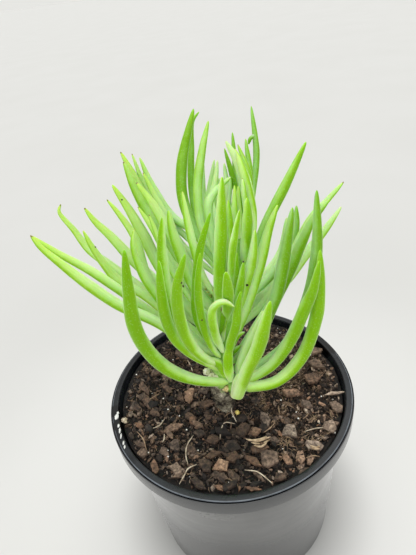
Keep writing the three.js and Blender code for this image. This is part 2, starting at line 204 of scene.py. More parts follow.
# Painted light and shade: a pool of light a hand's width from the pot that greys further out, and a contact
# shadow right round the pot.
painted_light_and_shadow = add(tree, "MapRange", SMOOTHLY, [reach, *LIT_POOL_REACH, *LIT_POOL_SHADES])
painted_contact_shadow = add(tree, "MapRange", SMOOTHLY, [reach, *CONTACT_SHADOW_REACH, *CONTACT_SHADOW_SHADES])
painted_light_and_shadow = add(tree, "Math", "MULTIPLY", [painted_light_and_shadow, painted_contact_shadow])
tint_with_painted_light = add(tree, "VectorMath", "SCALE", {0: tint, "Scale": painted_light_and_shadow})
fill(shader, {"Base Color": tint_with_painted_light, "Roughness": 0.7})
floor_mesh = bpy.data.meshes.new("floor")
half = FLOOR_SIZE / 2
floor_corners = [(-half, -half, 0), (half, -half, 0), (half, half, 0), (-half, half, 0)]
floor_mesh.from_pydata(floor_corners, [], [(0, 1, 2, 3)])
floor = in_scene("floor", floor_mesh)
floor.data.materials.append(paint)
print("floor side, m:", FLOOR_SIZE)

# %% [markdown]
# ## Leaf skin
#
# The leaves are living tissue: a smooth, water-filled finger under a thin skin. Over it lies a
# bloom of wax, thickest near the foot, where nothing rubs it off. The paleness of the bloom is
# also painted light: the inner side, which looks up and to the middle of the plant, is painted pale
# and milky as if lit from above, and the foot is painted paler still against the shade between the
# leaves. On its outer side the clear green shows, deep and yellowish. Light passes through the
# flesh and the wax shines softly at a low angle, so some subsurface scattering and sheen are used.
# Many leaves turn yellower towards the tip on their inner side, and some tips have dried brown.

# %% Leaf skin
FINE_LINES_PER_METRE = 1800
BLOOM_CLOUDS_PER_METRE = 90
WAX_DOTS_PER_METRE = 900
BLOOM_AND_PAINTED_LIGHT_AT_FOOT, BLOOM_AND_PAINTED_LIGHT_HIGHER = 0.22, -0.31
FOOT_PART, PALE_AND_PAINTED_FOOT_PART, TIP_PART, DRY_PART = 0.6, 0.12, 0.6, (0.988, 0.995)


def leaf_skin():
    material, tree, shader = new_material("living_leaf_skin_with_wax_bloom_and_painted_light")
    along, inside, tone, wax, yellowness, dryness = [
        add(tree, "Attribute", {"attribute_name": "leaf_" + name}).outputs["Fac"]
        for name in ("along", "inside", "tone", "wax", "yellow_tip", "dry_tip")]
    place = add(tree, "Attribute", {"attribute_name": "leaf_place"}).outputs["Vector"]
    cloud = add(tree, "TexNoise", inputs={"Vector": place, "Scale": BLOOM_CLOUDS_PER_METRE, "Detail": 4.0})
    uneven = add(tree, "Math", "MULTIPLY_ADD", [cloud, 0.6, wax])
    foot_bloom_and_painted_light = add(tree, "MapRange", SMOOTHLY, [along, 0, FOOT_PART, BLOOM_AND_PAINTED_LIGHT_AT_FOOT, BLOOM_AND_PAINTED_LIGHT_HIGHER])
    # The bloom follows the inner side, which looks up, so it is partly wax and partly painted top light;
    # near the foot it is lifted further, partly thicker wax and partly painted light against the shade
    # between the leaves.
    bloom_and_painted_light = add(tree, "Math", "ADD", [inside, uneven])
    bloom_and_painted_light = add(tree, "Math", "ADD", [bloom_and_painted_light, foot_bloom_and_painted_light])
    young = add(tree, "ValToRGB", {"stops": [
        (0.0, "#83b802"), (0.4, "#90c40a"), (0.53, "#a8d941"), (0.68, "#c4ea82"), (1.0, "#def5b8")]},
        [bloom_and_painted_light])
    old = add(tree, "ValToRGB", {"stops": [
        (0.0, "#669c06"), (0.4, "#72a616"), (0.53, "#83b740"), (0.68, "#99c972"), (1.0, "#bce0a8")]},
        [bloom_and_painted_light])
    aged = add(tree, "Mix", COLOURS, {"Factor": tone, 6: young, 7: old})
    stretch = add(tree, "Mapping", inputs={"Vector": place, "Scale": (1.0, 1.0, 0.03)})
    lines = add(tree, "TexNoise", inputs={"Vector": stretch, "Scale": FINE_LINES_PER_METRE, "Detail": 3.0})
    line_shade = add(tree, "MapRange", inputs=[lines, 0.3, 0.7, 0.93, 1.06])
    lined = add(tree, "VectorMath", "SCALE", {0: aged, "Scale": line_shade})
    tip = add(tree, "MapRange", inputs=[along, TIP_PART, 1])
    yellow = add(tree, "MapRange", inputs=[inside, 0.3, 0.9, 0.1, 0.95])
    tip_share = add(tree, "Math", "MULTIPLY", [tip, yellow])
    tip_share = add(tree, "Math", "MULTIPLY", [tip_share, yellowness])
    tipped = add(tree, "Mix", COLOURS, {"Factor": tip_share, 6: lined, 7: "#bcdf50"})
    # The pale foot is partly wax and partly painted light against the shade between the leaves.
    pale_foot_and_painted_light = add(tree, "MapRange", inputs=[along, 0, PALE_AND_PAINTED_FOOT_PART, 0.6, 0])
    with_pale_foot_and_painted_light = add(tree, "Mix", COLOURS, {"Factor": pale_foot_and_painted_light, 6: tipped, 7: "#c4e68c"})
    dry = add(tree, "MapRange", inputs=[along, *DRY_PART])
    dry_share = add(tree, "Math", "MULTIPLY", [dry, dryness])
    dried = add(tree, "Mix", COLOURS, {"Factor": dry_share, 6: with_pale_foot_and_painted_light, 7: "#7c6340"})
    dots = add(tree, "TexVoronoi", inputs={"Vector": place, "Scale": WAX_DOTS_PER_METRE})
    dot = add(tree, "MapRange", inputs=[dots, 0.2, 0.3, 0.14, 0])
    dotted = add(tree, "Mix", COLOURS, {"Factor": dot, 6: dried, 7: "#d8efc8"})
    rough = add(tree, "MapRange", inputs=[bloom_and_painted_light, 0, 1, 0.4, 0.6])
    bump = add(tree, "Bump", inputs={"Height": lines, "Strength": 0.25, "Distance": 0.0002})
    fill(shader, {
        "Base Color": dotted, "Roughness": rough, "Normal": bump, "IOR": 1.4, "Specular IOR Level": 0.2,
        "Subsurface Weight": 0.5, "Subsurface Radius": (0.5, 1.0, 0.12), "Subsurface Scale": 0.004,
        "Sheen Weight": 1.0, "Sheen Roughness": 0.3, "Sheen Tint": "#eafbd0"})
    return material


leaf_material = leaf_skin()
print("leaf skin nodes:", len(leaf_material.node_tree.nodes))

# %% [markdown]
# ## The leaf as a rule
#
# All leaves follow one rule: a round finger that swells from its foot to full thickness in the
# first third, keeps it for half its length, and then rounds off to a point. A leaf could be modelled
# by hand, but with one rule and a midline for each leaf, a Geometry Nodes tree can make them all.
# The tree walks along the midline, sets the thickness at each step, and sweeps a circle along it.
# It also leaves marks on the mesh for the skin: how far along the leaf a point is, where it lies
# round the leaf, how much it faces the middle of the plant, and the leaf's own tone and wax.

# %% Inputs and ends of a tree
LEAF_INPUTS = {
    "Thickness": 0.006, "Foot Share": 0.6, "Swell End": 0.3, "Taper Start": 0.68, "Taper Power": 0.45,
    "Foot Rounding": 0.03, "Unevenness": 0.00025, "Tone": 0.3, "Wax": 0.0, "Yellow Tip": 0.2, "Dry Tip": 0.0,
}
LEAF_RINGS = 64
LEAF_SIDES = 22


def open_tree(name, floats, whole_numbers, input_name):
    tree = bpy.data.node_groups.new(name, "GeometryNodeTree")
    tree.interface.new_socket(input_name, in_out="INPUT", socket_type="NodeSocketGeometry")
    for kind, numbers in (("NodeSocketFloat", floats), ("NodeSocketInt", whole_numbers)):
        for socket_name, value in numbers.items():
            tree.interface.new_socket(socket_name, in_out="INPUT", socket_type=kind).default_value = value
    tree.interface.new_socket("Material", in_out="INPUT", socket_type="NodeSocketMaterial")
    tree.interface.new_socket("Result", in_out="OUTPUT", socket_type="NodeSocketGeometry")
    return tree, add(tree, "NodeGroupInput").outputs


def close_tree(tree, geometry, material):
    real = add(tree, "GeometryNodeRealizeInstances", inputs=[geometry])
    painted = add(tree, "GeometryNodeSetMaterial", inputs={"Geometry": real, "Material": material})
    add(tree, "NodeGroupOutput", inputs=[painted])


# %% [markdown]
# The way to the plant's middle is needed at every step of the midline: it is the direction that
# looks up and towards the axis of the plant, made square to the midline. A point's normal is later
# compared with it. Attributes are captured before the sweep, because the sweep hands them on to the
# whole ring of points.

# %% Geometry Nodes tree of a leaf
PLANT_AXIS = (0.003, -0.008, 0.0)
SEAM_GAP = 0.00001
BULGES_PER_METRE = 110.0


def leaf_tree():
    tree, given = open_tree(
        "leaf_along_its_midline", LEAF_INPUTS, {"Rings": LEAF_RINGS, "Sides": LEAF_SIDES}, "Midline")
    rail = add(tree, "GeometryNodeCurvePrimitiveLine", inputs={"End": (0, 0, 1)})
    rail = add(tree, "GeometryNodeResampleCurve", inputs={"Curve": rail, "Count": given["Rings"]})
    factor = add(tree, "GeometryNodeSplineParameter").outputs["Factor"]
    swing = add(tree, "Math", "MULTIPLY", [factor, math.pi])
    swing = add(tree, "Math", "COSINE", [swing])
    eased = add(tree, "Math", "MULTIPLY_ADD", [swing, -0.5, 0.5])
    kept = add(tree, "GeometryNodeCaptureAttribute", {"domain": "POINT"}, {"Geometry": rail})
    kept.capture_items.new("FLOAT", "Along")
    fill(kept, {"Along": eased})
    along = kept.outputs["Along"]
    spot = add(tree, "GeometryNodeSampleCurve", {"mode": "FACTOR", "use_all_curves": True}, {
        "Curves": given["Midline"], "Factor": along})
    laid = add(tree, "GeometryNodeSetPosition", inputs={
        "Geometry": kept, "Position": spot.outputs["Position"]})
    away = add(tree, "VectorMath", "SUBTRACT", [spot.outputs["Position"], PLANT_AXIS])
    away = add(tree, "VectorMath", "MULTIPLY", [away, (1, 1, 0)])
    away = add(tree, "VectorMath", "NORMALIZE", [away])
    wanted = add(tree, "VectorMath", "SUBTRACT", [(0, 0, 1), away])
    flat = add(tree, "VectorMath", "PROJECT", [wanted, spot.outputs["Tangent"]])
    inner = add(tree, "VectorMath", "SUBTRACT", [wanted, flat])
    inner = add(tree, "VectorMath", "NORMALIZE", [inner])
    side = add(tree, "GeometryNodeCaptureAttribute", {"domain": "POINT"}, {"Geometry": laid})
    side.capture_items.new("VECTOR", "Inner Side")
    fill(side, {"Inner Side": inner})
    swell = add(tree, "MapRange", inputs=[along, 0, given["Swell End"], given["Foot Share"], 1])
    left = add(tree, "Math", "SUBTRACT", [1.0, along])
    room = add(tree, "Math", "SUBTRACT", [1.0, given["Taper Start"]])
    taper = add(tree, "Math", {"operation": "DIVIDE", "use_clamp": True}, [left, room])
    taper = add(tree, "Math", "POWER", [taper, given["Taper Power"]])
    heel = add(tree, "Math", {"operation": "DIVIDE", "use_clamp": True}, [along, given["Foot Rounding"]])
    heel = add(tree, "Math", "POWER", [heel, 0.5])
    share = add(tree, "Math", "MULTIPLY", [swell, taper])
    share = add(tree, "Math", "MULTIPLY", [share, heel])
    half_thick = add(tree, "Math", "MULTIPLY", [given["Thickness"], 0.5])
    radius = add(tree, "Math", "MULTIPLY", [share, half_thick])
    circle = add(tree, "GeometryNodeCurvePrimitiveCircle", inputs={
        "Resolution": given["Sides"], "Radius": 1.0})
    ring = add(tree, "GeometryNodeCaptureAttribute", {"domain": "POINT"}, {"Geometry": circle})
    ring.capture_items.new("VECTOR", "Round")
    fill(ring, {"Round": add(tree, "GeometryNodeInputPosition")})
    swept = add(tree, "GeometryNodeCurveToMesh", inputs={
        "Curve": side, "Profile Curve": ring, "Scale": radius})
    closed = add(tree, "GeometryNodeMergeByDistance", inputs={"Geometry": swept, "Distance": SEAM_GAP})
    bulge = add(tree, "TexNoise", inputs={"Scale": BULGES_PER_METRE, "Detail": 2.0})
    push = add(tree, "Math", "SUBTRACT", [bulge, 0.5])
    push = add(tree, "Math", "MULTIPLY", [push, given["Unevenness"]])
    outward = add(tree, "GeometryNodeInputNormal").outputs["Normal"]
    shift = add(tree, "VectorMath", "SCALE", {0: outward, "Scale": push})
    uneven = add(tree, "GeometryNodeSetPosition", inputs={"Geometry": closed, "Offset": shift})
    smooth = add(tree, "GeometryNodeSetShadeSmooth", inputs=[uneven])
    facing = add(tree, "VectorMath", "DOT_PRODUCT", [outward, side.outputs["Inner Side"]])
    inside = add(tree, "Math", "MULTIPLY_ADD", [facing, 0.5, 0.5])
    length = add(tree, "GeometryNodeCurveLength", inputs=[given["Midline"]])
    height = add(tree, "Math", "MULTIPLY", [along, length])
    up_the_leaf = add(tree, "CombineXYZ", inputs={"Z": height})
    place = add(tree, "VectorMath", "MULTIPLY_ADD", [ring.outputs["Round"], half_thick, up_the_leaf])
    marked = smooth
    marks = {
        "along": along, "inside": inside, "tone": given["Tone"], "wax": given["Wax"],
        "yellow_tip": given["Yellow Tip"], "dry_tip": given["Dry Tip"], "place": place}
    for name, value in marks.items():
        kind = "FLOAT_VECTOR" if name == "place" else "FLOAT"
        marked = add(tree, "GeometryNodeStoreNamedAttribute", {"data_type": kind}, {
            "Geometry": marked, "Name": "leaf_" + name, "Value": value})
    close_tree(tree, marked, given["Material"])
    return tree


leaf_rule = leaf_tree()
print("nodes in the leaf tree:", len(leaf_rule.nodes))

# %% [markdown]
# ## Where each leaf goes
#
# Every leaf is listed with its thickness in millimetres, its tone from 0, young and yellow, to 1,
# old and bluish, the share of the thickness that its foot keeps, and the points of its midline.
# They are the points of the CAD model, so each fine leaf lies inside the room of its solid. The
# groups go round the plant: front, right, middle, crown, high left, left, and the far side.

# %% Leaf table
LEAVES = {
    "front_blunt": (7.1, 0.12, 1, [
        (3, -25, 140), (10, -29, 164), (16, -32, 181), (20, -35, 199), (23, -36, 213)]),
    "front_second": (5.9, 0.3, 0.6, [(4, -19, 143), (8, -19, 159), (13, -19, 172), (22, -19, 194)]),
    "left_arc": (7.2, 0.4, 0.6, [
        (0, -21, 148), (-16, -23, 155), (-30, -25, 168), (-38, -27, 185), (-41, -29, 204),
        (-39, -30, 226), (-36, -31, 247)]),
    "young_upright": (4.7, 0.2, 0.6, [
        (1, -19, 160), (3, -22, 177), (7, -25, 192), (9, -26, 205), (11, -27, 214)]),
    "front_hook": (4.5, 0.25, 0.6, [
        (-1, -19, 170), (-4, -28, 194), (-3, -29, 208), (2, -30, 212), (7, -30, 208)]),
    "right_arc_outer": (6.9, 0.2, 0.85, [
        (7, -22, 143), (26, -22, 144), (41, -20, 158), (49, -19, 183), (51, -18, 204), (51, -17, 224)]),
    "right_arc_inner": (6.4, 0.35, 0.75, [
        (8, -18, 143), (24, -20, 155), (36, -21, 175), (42, -22, 193), (46, -23, 205), (49, -23, 222)]),
    "right_dark": (6.6, 0.9, 0.6, [
        (7, -13, 139), (20, -11, 148), (34, -10, 158), (43, -8, 174), (50, -6, 194), (53, -5, 216),
        (53, -3, 248)]),
    "right_tall": (6.6, 0.85, 0.6, [
        (3, -13, 154), (9, -12, 162), (23, -9, 180), (30, -8, 191), (36, -6, 214), (41, -5, 242)]),
    "right_bent": (6.5, 0.6, 0.6, [
        (4, -9, 143), (20, -4, 162), (32, 1, 184), (41, 4, 200), (49, 7, 216), (54, 8, 226),
        (63, 9, 236)]),
    "right_far_high": (5.2, 0.3, 0.6, [
        (6, 2, 164), (27, 10, 176), (45, 19, 198), (59, 25, 219), (67, 27, 226), (77, 28, 236)]),
    "right_far_low": (6, 0.35, 0.6, [
        (5, 8, 165), (27, 18, 174), (43, 24, 179), (57, 31, 191), (70, 35, 204), (80, 38, 216)]),
    "right_hook_back": (5.2, 0.45, 0.6, [
        (7, 9, 179), (26, 24, 182), (37, 32, 186), (44, 38, 192), (49, 44, 211)]),
    "right_mid_back": (5.8, 0.7, 0.6, [
        (7, 5, 177), (27, 16, 185), (38, 22, 191), (46, 26, 199), (51, 30, 211), (52, 32, 224)]),
    "right_long": (5.4, 0.5, 0.6, [
        (11, -2, 200), (23, 4, 216), (32, 9, 231), (42, 13, 246), (53, 16, 265)]),
    "mid_right_big": (5.9, 0.2, 0.6, [
        (3, -15, 167), (13, -10, 187), (22, -5, 207), (30, -1, 230), (35, 0, 242)]),
    "mid_dotted": (5.2, 0.25, 0.6, [(6, -11, 181), (15, -14, 209), (19, -16, 225), (21, -16, 239)]),
    "mid_wide": (5.6, 0.3, 0.6, [(3, -15, 189), (5, -26, 213), (5, -30, 228)]),
    "mid_tall": (6.2, 0.2, 0.6, [(0, -13, 177), (2, -13, 210), (6, -12, 240), (9, -12, 265)]),
    "mid_short": (4.5, 0.1, 0.6, [(4, -9, 177), (9, -11, 203), (12, -13, 227)]),
    "top_right_short": (5.1, 0.3, 0.6, [(15, -8, 218), (18, -12, 238), (19, -13, 254)]),
    "top_right_long": (5.3, 0.4, 0.6, [
        (17, -2, 214), (22, 2, 231), (22, 7, 250), (18, 9, 264), (14, 10, 273)]),
    "top_tallest": (3.6, 1, 0.6, [(19, 9, 222), (27, 26, 239), (32, 37, 255), (32, 45, 278)]),
    "crown_left_long": (5.8, 0.75, 0.6, [
        (5, 4, 208), (-3, 12, 220), (-10, 23, 240), (-8, 30, 258), (2, 36, 283)]),
    "crown_left_thin": (3.8, 0.85, 0.6, [
        (6, 9, 209), (-3, 21, 220), (-5, 35, 241), (-2, 44, 260), (1, 48, 274), (5, 49, 278)]),
    "crown_middle": (4.8, 0.45, 0.6, [
        (5, 1, 214), (-2, 9, 228), (-2, 17, 248), (3, 22, 266), (8, 25, 279)]),
    "crown_hook": (4.3, 0.75, 0.6, [(3, -4, 212), (2, -2, 231), (2, 0, 247), (6, 1, 253), (14, 1, 259)]),
    "left_high_back": (5.8, 0.35, 0.6, [
        (1, 10, 183), (-13, 25, 198), (-26, 40, 222), (-36, 50, 248), (-41, 53, 262)]),
    "left_high_long": (6.1, 0.55, 0.6, [(-1, 6, 180), (-23, 28, 215), (-35, 39, 241), (-39, 42, 260)]),
    "left_high_thin": (3.7, 0.4, 0.6, [
        (3, 12, 201), (-10, 28, 214), (-16, 34, 219), (-25, 42, 231), (-32, 50, 245), (-35, 53, 260)]),
    "left_high_dark": (4.6, 0.7, 0.6, [
        (5, 11, 208), (-6, 27, 219), (-18, 37, 226), (-27, 47, 243), (-31, 51, 258)]),
    "left_high_pale": (5.7, 0.2, 0.6, [
        (0, 2, 189), (-12, 14, 205), (-20, 22, 223), (-27, 28, 240), (-33, 30, 252)]),
    "left_high_last": (4.2, 0.4, 0.6, [
        (3, 8, 200), (-10, 21, 208), (-17, 28, 216), (-22, 35, 229), (-27, 41, 242), (-30, 43, 252)]),
    "left_bright": (4.1, 0.2, 0.6, [
        (1, -9, 197), (-6, -7, 213), (-8, -6, 230), (-9, -5, 246), (-9, -5, 258)]),
    "left_pale": (6, 0.3, 0.6, [
        (-1, -7, 184), (-11, -4, 204), (-15, -2, 223), (-17, -1, 237), (-17, -1, 248)]),
    "left_tall": (6.1, 0.25, 0.6, [
        (-4, -15, 163), (-15, -16, 177), (-22, -16, 195), (-24, -17, 216), (-22, -17, 238),
        (-19, -18, 253)]),
    "left_front_low": (5.7, 0.2, 0.6, [
        (-4, -18, 156), (-16, -22, 173), (-24, -25, 190), (-26, -27, 206), (-25, -29, 223),
        (-23, -30, 239)]),
    "left_front_mid": (5.7, 0.2, 0.6, [
        (-3, -19, 161), (-11, -24, 172), (-17, -28, 188), (-19, -32, 208), (-17, -36, 228),
        (-11, -38, 245)]),
    "left_front_thin": (4, 0.2, 0.6, [
        (-3, -18, 165), (-7, -22, 179), (-9, -24, 195), (-9, -27, 214), (-7, -29, 230), (-5, -29, 239)]),
    "left_front_high": (4.5, 0.3, 0.6, [
        (-3, -15, 169), (-9, -16, 180), (-12, -16, 197), (-10, -16, 211), (-5, -16, 233), (2, -16, 251)]),
    "left_small_high": (3.9, 0.3, 0.6, [(-1, -2, 184), (-21, 9, 213), (-28, 13, 233), (-33, 15, 245)]),
    "left_small_low": (3.9, 0.3, 0.6, [
        (-2, -9, 173), (-12, -4, 193), (-21, 0, 214), (-25, 3, 233), (-27, 4, 245)]),
    "left_blunt": (4.7, 0.3, 0.6, [
        (-4, -11, 160), (-22, -7, 183), (-30, -5, 200), (-35, -4, 214), (-37, -3, 225), (-37, -3, 234),
        (-35, -2, 241)]),
    "left_mid_high": (6.8, 0.2, 0.6, [
        (-3, 4, 158), (-18, 16, 178), (-30, 25, 202), (-36, 31, 221), (-41, 35, 235), (-47, 37, 250)]),
    "left_mid_front": (5.1, 0.25, 0.6, [
        (-3, 0, 155), (-28, 10, 181), (-37, 16, 205), (-39, 20, 225), (-44, 22, 238), (-49, 23, 248)]),
    "left_mid_back": (6.7, 0.25, 0.6, [
        (-3, 10, 150), (-21, 24, 171), (-38, 34, 190), (-47, 39, 201), (-57, 44, 216), (-64, 46, 226),
        (-68, 47, 235)]),
    "left_low_inner": (5.7, 0.25, 0.6, [
        (-4, 2, 150), (-31, 13, 178), (-43, 17, 191), (-54, 20, 199), (-60, 22, 211), (-64, 23, 223),
        (-66, 24, 232)]),
    "left_low_hooked": (5.3, 0.25, 0.6, [
        (-4, 7, 146), (-32, 23, 174), (-47, 30, 189), (-59, 34, 201), (-70, 38, 212), (-76, 41, 225),
        (-81, 42, 237), (-79, 43, 241)]),
    "left_twin_back": (5, 0.3, 0.6, [
        (-5, -4, 151), (-37, -3, 192), (-49, -3, 208), (-61, -2, 222), (-73, -2, 234), (-83, -2, 246)]),
    "left_twin_front": (5.6, 0.3, 0.6, [
        (-5, -14, 156), (-32, -14, 192), (-49, -14, 207), (-60, -14, 221), (-70, -14, 236),
        (-76, -14, 246), (-78, -14, 252)]),
    "back_centre": (6, 0.5, 0.6, [(0, 13, 172), (4, 40, 178), (8, 66, 196)]),
    "back_left": (6, 0.5, 0.6, [(-2, 12, 163), (-12, 40, 170), (-22, 66, 186)]),
    "back_right": (6, 0.5, 0.6, [(5, 13, 182), (18, 38, 187), (30, 62, 204)]),
    "back_left_low": (6, 0.5, 0.6, [(-4, 9, 158), (-22, 30, 163), (-46, 48, 182)]),
    "back_right_low": (6, 0.5, 0.6, [(4, 11, 167), (30, 30, 169), (54, 46, 184)]),
    "back_upright": (5.5, 0.5, 0.6, [(4, 13, 192), (6, 36, 206), (6, 56, 228)]),
}

# %% [markdown]
# The youngest leaves are still fused to the growing edge of the crest. In the CAD model they belong
# to the stem's solid. Here they get the same rule as the others, and they ride as one piece. The
# last nine are fine details that the CAD model leaves out: thin tips in the crown, a tiny hooked
# leaf high up, and the thick feet that run down the side shoot.

# %% Young leaf table
YOUNG_LEAVES = {
    "young_curled": (3.4, 0.15, 0.6, [(1, -17, 162), (5, -16, 173), (9, -15, 177), (12, -15, 178)]),
    "young_inner": (2.4, 0.3, 0.6, [(0, -17, 175), (1, -17, 184), (4, -16, 194)]),
    "mid_second": (4.2, 0.35, 0.6, [(5, -12, 183), (11, -19, 208), (14, -21, 226)]),
    "mid_pale_tip": (3.8, 0.2, 0.6, [(6, -11, 209), (10, -9, 233), (11, -8, 252)]),
    "mid_core": (3.6, 0.3, 0.6, [(7, -11, 205), (10, -22, 236), (14, -24, 254)]),
    "top_twin_left": (3.3, 0.3, 0.6, [(10, -7, 217), (13, -4, 237), (15, -2, 256)]),
    "top_twin_right": (3.9, 0.25, 0.6, [(13, -6, 217), (16, -1, 237), (17, 1, 254)]),
    "top_dark": (3.0, 1, 0.6, [(15, 3, 227), (17, 15, 246), (14, 21, 266)]),
    "top_back_thin": (3.1, 0.95, 0.6, [(17, 7, 226), (19, 26, 247), (20, 35, 269)]),
    "top_back_brown": (3.0, 0.7, 0.6, [(17, 5, 229), (19, 16, 246), (19, 22, 264)]),
    "top_edge": (3.3, 0.55, 0.6, [(19, 5, 226), (25, 19, 249), (21, 24, 266)]),
    "top_back_right": (3.6, 0.7, 0.6, [(19, 8, 222), (26, 25, 246), (26, 31, 266)]),
    "crown_behind": (3.2, 0.7, 0.6, [(6, 8, 217), (1, 17, 225), (1, 30, 243), (4, 37, 264)]),
    "crown_mid_left": (3.1, 0.55, 0.6, [(6, 7, 219), (1, 18, 233), (5, 26, 246), (9, 30, 258)]),
    "crown_mid_right": (3.5, 0.4, 0.6, [(6, 2, 221), (2, 12, 238), (7, 17, 250), (10, 20, 261)]),
    "crown_small": (2.1, 0.5, 0.6, [(9, 6, 226), (7, 20, 243), (10, 22, 251)]),
    "crown_back": (3.0, 0.65, 0.6, [(11, 6, 229), (13, 15, 244), (13, 20, 259)]),
    "back_high": (4.5, 0.5, 0.6, [(10, 10, 200), (18, 34, 214), (24, 52, 238)]),
    "back_lowest": (5.0, 0.5, 0.6, [(3, 10, 158), (10, 36, 156), (16, 60, 168)]),
    "small_hook": (1.9, 0.95, 0.9, [(32, 40.2, 264.4), (29.5, 39.5, 262.7), (28.4, 39, 260.2)]),
    "dark_stub": (3.0, 0.6, 0.6, [(1, -13, 158), (4, -13, 162), (9, -13, 167)]),
    "in_the_hook": (3.2, 0.5, 0.6, [(-1, -15, 177), (1, -18, 191), (3, -19, 201)]),
    "top_bluish": (2.4, 0.9, 0.6, [(12, 11, 238), (14, 14, 247), (15, 15, 253)]),
    "top_yellow": (4.2, 0.2, 0.6, [
        (22, -1, 227), (23, 1, 238), (22.5, 2, 245.5), (21, 4, 255), (19.3, 7, 263.5), (17.7, 10, 268.9)]),
    "top_brown_tip": (2.9, 0.3, 0.6, [(19, -3, 234), (19.3, -2, 245), (19.2, -1, 252), (19.2, 0, 258)]),
    "running_foot": (5.6, 0.1, 0.45, [
        (1, -21.5, 149), (0.5, -22, 158), (1, -21.8, 167), (2.6, -21.6, 177)]),
    "running_foot_left": (4.9, 0.15, 0.6, [
        (-1.6, -18.6, 149), (-2.6, -19.2, 156), (-5, -20.5, 164), (-9, -22.8, 170)]),
    "pale_heel": (5.0, 0.1, 0.95, [(1.9, -24, 139), (3.4, -23.8, 147), (6, -23, 156)]),
}

# %% [markdown]
# A midline runs smoothly through its points. The curve is a centripetal Catmull-Rom spline, which
# doesn't overshoot where points are close together, as they are at a hooked tip. It is the same curve
# as in the CAD source. Blender has no such curve type, so it is sampled into a fine polyline.

# %% Midlines
STEPS_BETWEEN_POINTS = 16


def smooth_route(points):
    known = [Vector(point) for point in points]
    known = [2 * known[0] - known[1], *known, 2 * known[-1] - known[-2]]
    route = []
    for p0, p1, p2, p3 in zip(known, known[1:], known[2:], known[3:]):
        t1 = (p1 - p0).length ** 0.5
        t2 = t1 + (p2 - p1).length ** 0.5
        t3 = t2 + (p3 - p2).length ** 0.5
        for step in range(STEPS_BETWEEN_POINTS):
            t = t1 + (t2 - t1) * step / STEPS_BETWEEN_POINTS
            a1 = p0.lerp(p1, t / t1)
            a2 = p1.lerp(p2, (t - t1) / (t2 - t1))
            a3 = p2.lerp(p3, (t - t2) / (t3 - t2))
            b1 = a1.lerp(a2, t / t2)
            b2 = a2.lerp(a3, (t - t1) / (t3 - t1))
            route.append(b1.lerp(b2, (t - t1) / (t2 - t1)))
    return [*route, known[-2]]


def curve_object(name, routes):
    curve = bpy.data.curves.new(name, "CURVE")
    curve.dimensions = "3D"
    for route in routes:
        line = curve.splines.new("POLY")
        line.points.add(len(route) - 1)
        line.points.foreach_set("co", [value for point in route for value in (*(point * MM), 1.0)])
    return in_scene(name, curve)


print("points on one midline:", len(smooth_route(LEAVES["left_arc"][3])))

# %% [markdown]
# To run a tree on an object, it gets a Geometry Nodes modifier, whose inputs are set by the
# identifier of each socket. The evaluated result is then kept as a plain mesh, and the object that
# carried the modifier is thrown away, so that nothing in the finished piece is still computed.

# %% Running a tree
def run_tree(carrier, tree, values, name):
    modifier = carrier.modifiers.new("rule", "NODES")
    modifier.node_group = tree
    for item in tree.interface.items_tree:
        if item.name in values:
            modifier[item.identifier] = values[item.name]
    evaluated = carrier.evaluated_get(bpy.context.evaluated_depsgraph_get())
    mesh = bpy.data.meshes.new_from_object(evaluated)
    carrier.modifiers.remove(modifier)
    mesh.name = name
    return in_scene(name, mesh)


def triangles(piece):
    piece.data.calc_loop_triangles()
    return len(piece.data.loop_triangles)


def grow_leaf(name, facts, new_name):
    thickness, tone, foot_share, points = facts
    carrier = curve_object(name + "_midline", [smooth_route(points)])
    values = {
        "Thickness": thickness * MM, "Tone": tone, "Foot Share": foot_share, "Wax": WAX.get(name, 0.0),
        "Yellow Tip": YELLOW_TIPS.get(name, USUAL_YELLOW_TIP), "Dry Tip": float(name in DRY_TIPS),
        "Material": leaf_material}
    leaf = run_tree(carrier, leaf_rule, values, new_name)
    bpy.data.objects.remove(carrier)
    return leaf


def join(pieces, name):
    joined = bmesh.new()
    for piece in pieces:
        joined.from_mesh(piece.data)
    mesh = pieces[0].data.copy()
    joined.to_mesh(mesh)
    joined.free()
    mesh.name = name
    for piece in pieces:
        bpy.data.objects.remove(piece)
    return in_scene(name, mesh)


# %% [markdown]
# Some leaves carry more wax than most and are paler for it, and others have been rubbed or rained
# clean. The tips of the leaves on the left and at the top are yellow, and some tips have dried up.
# A leaf that isn't listed has no extra wax and a tip that is hardly yellow. The leaves are then
# grown one by one.

# %% Growing the leaves
USUAL_YELLOW_TIP = 0.1
WAX = {
    "top_tallest": -0.35, "right_long": -0.35, "crown_left_long": -0.5, "crown_left_thin": -0.45,
    "crown_middle": -0.3, "left_high_long": -0.25, "right_dark": -0.2, "right_tall": -0.15,
    "right_bent": -0.2, "left_high_dark": -0.1, "left_front_low": -0.1, "left_front_mid": -0.05,
    "left_tall": 0.12, "right_arc_outer": -0.36, "right_arc_inner": -0.3, "left_arc": -0.32,
    "front_blunt": 0.1, "front_second": 0.35, "young_inner": 0.5, "front_hook": 0.42, "in_the_hook": -0.4,
    "mid_dotted": 0.25, "mid_tall": 0.27, "mid_core": 0.25, "mid_second": 0.1, "left_small_low": 0.1,
    "mid_wide": 0.1, "top_dark": -0.6, "top_back_right": -0.35, "top_edge": -0.35, "top_back_thin": -0.45,
    "crown_hook": -0.08, "top_right_long": 0.25, "pale_heel": 0.45, "running_foot": 0.32,
    "running_foot_left": 0.1, "mid_short": 0.15, "young_curled": 0.15, "right_far_high": -0.15,
    "right_mid_back": -0.15, "left_bright": 0.15, "left_low_inner": -0.1, "top_yellow": -0.2,
    "small_hook": -0.5, "top_back_brown": -0.1, "left_small_high": 0.05, "right_hook_back": 0.05,
}
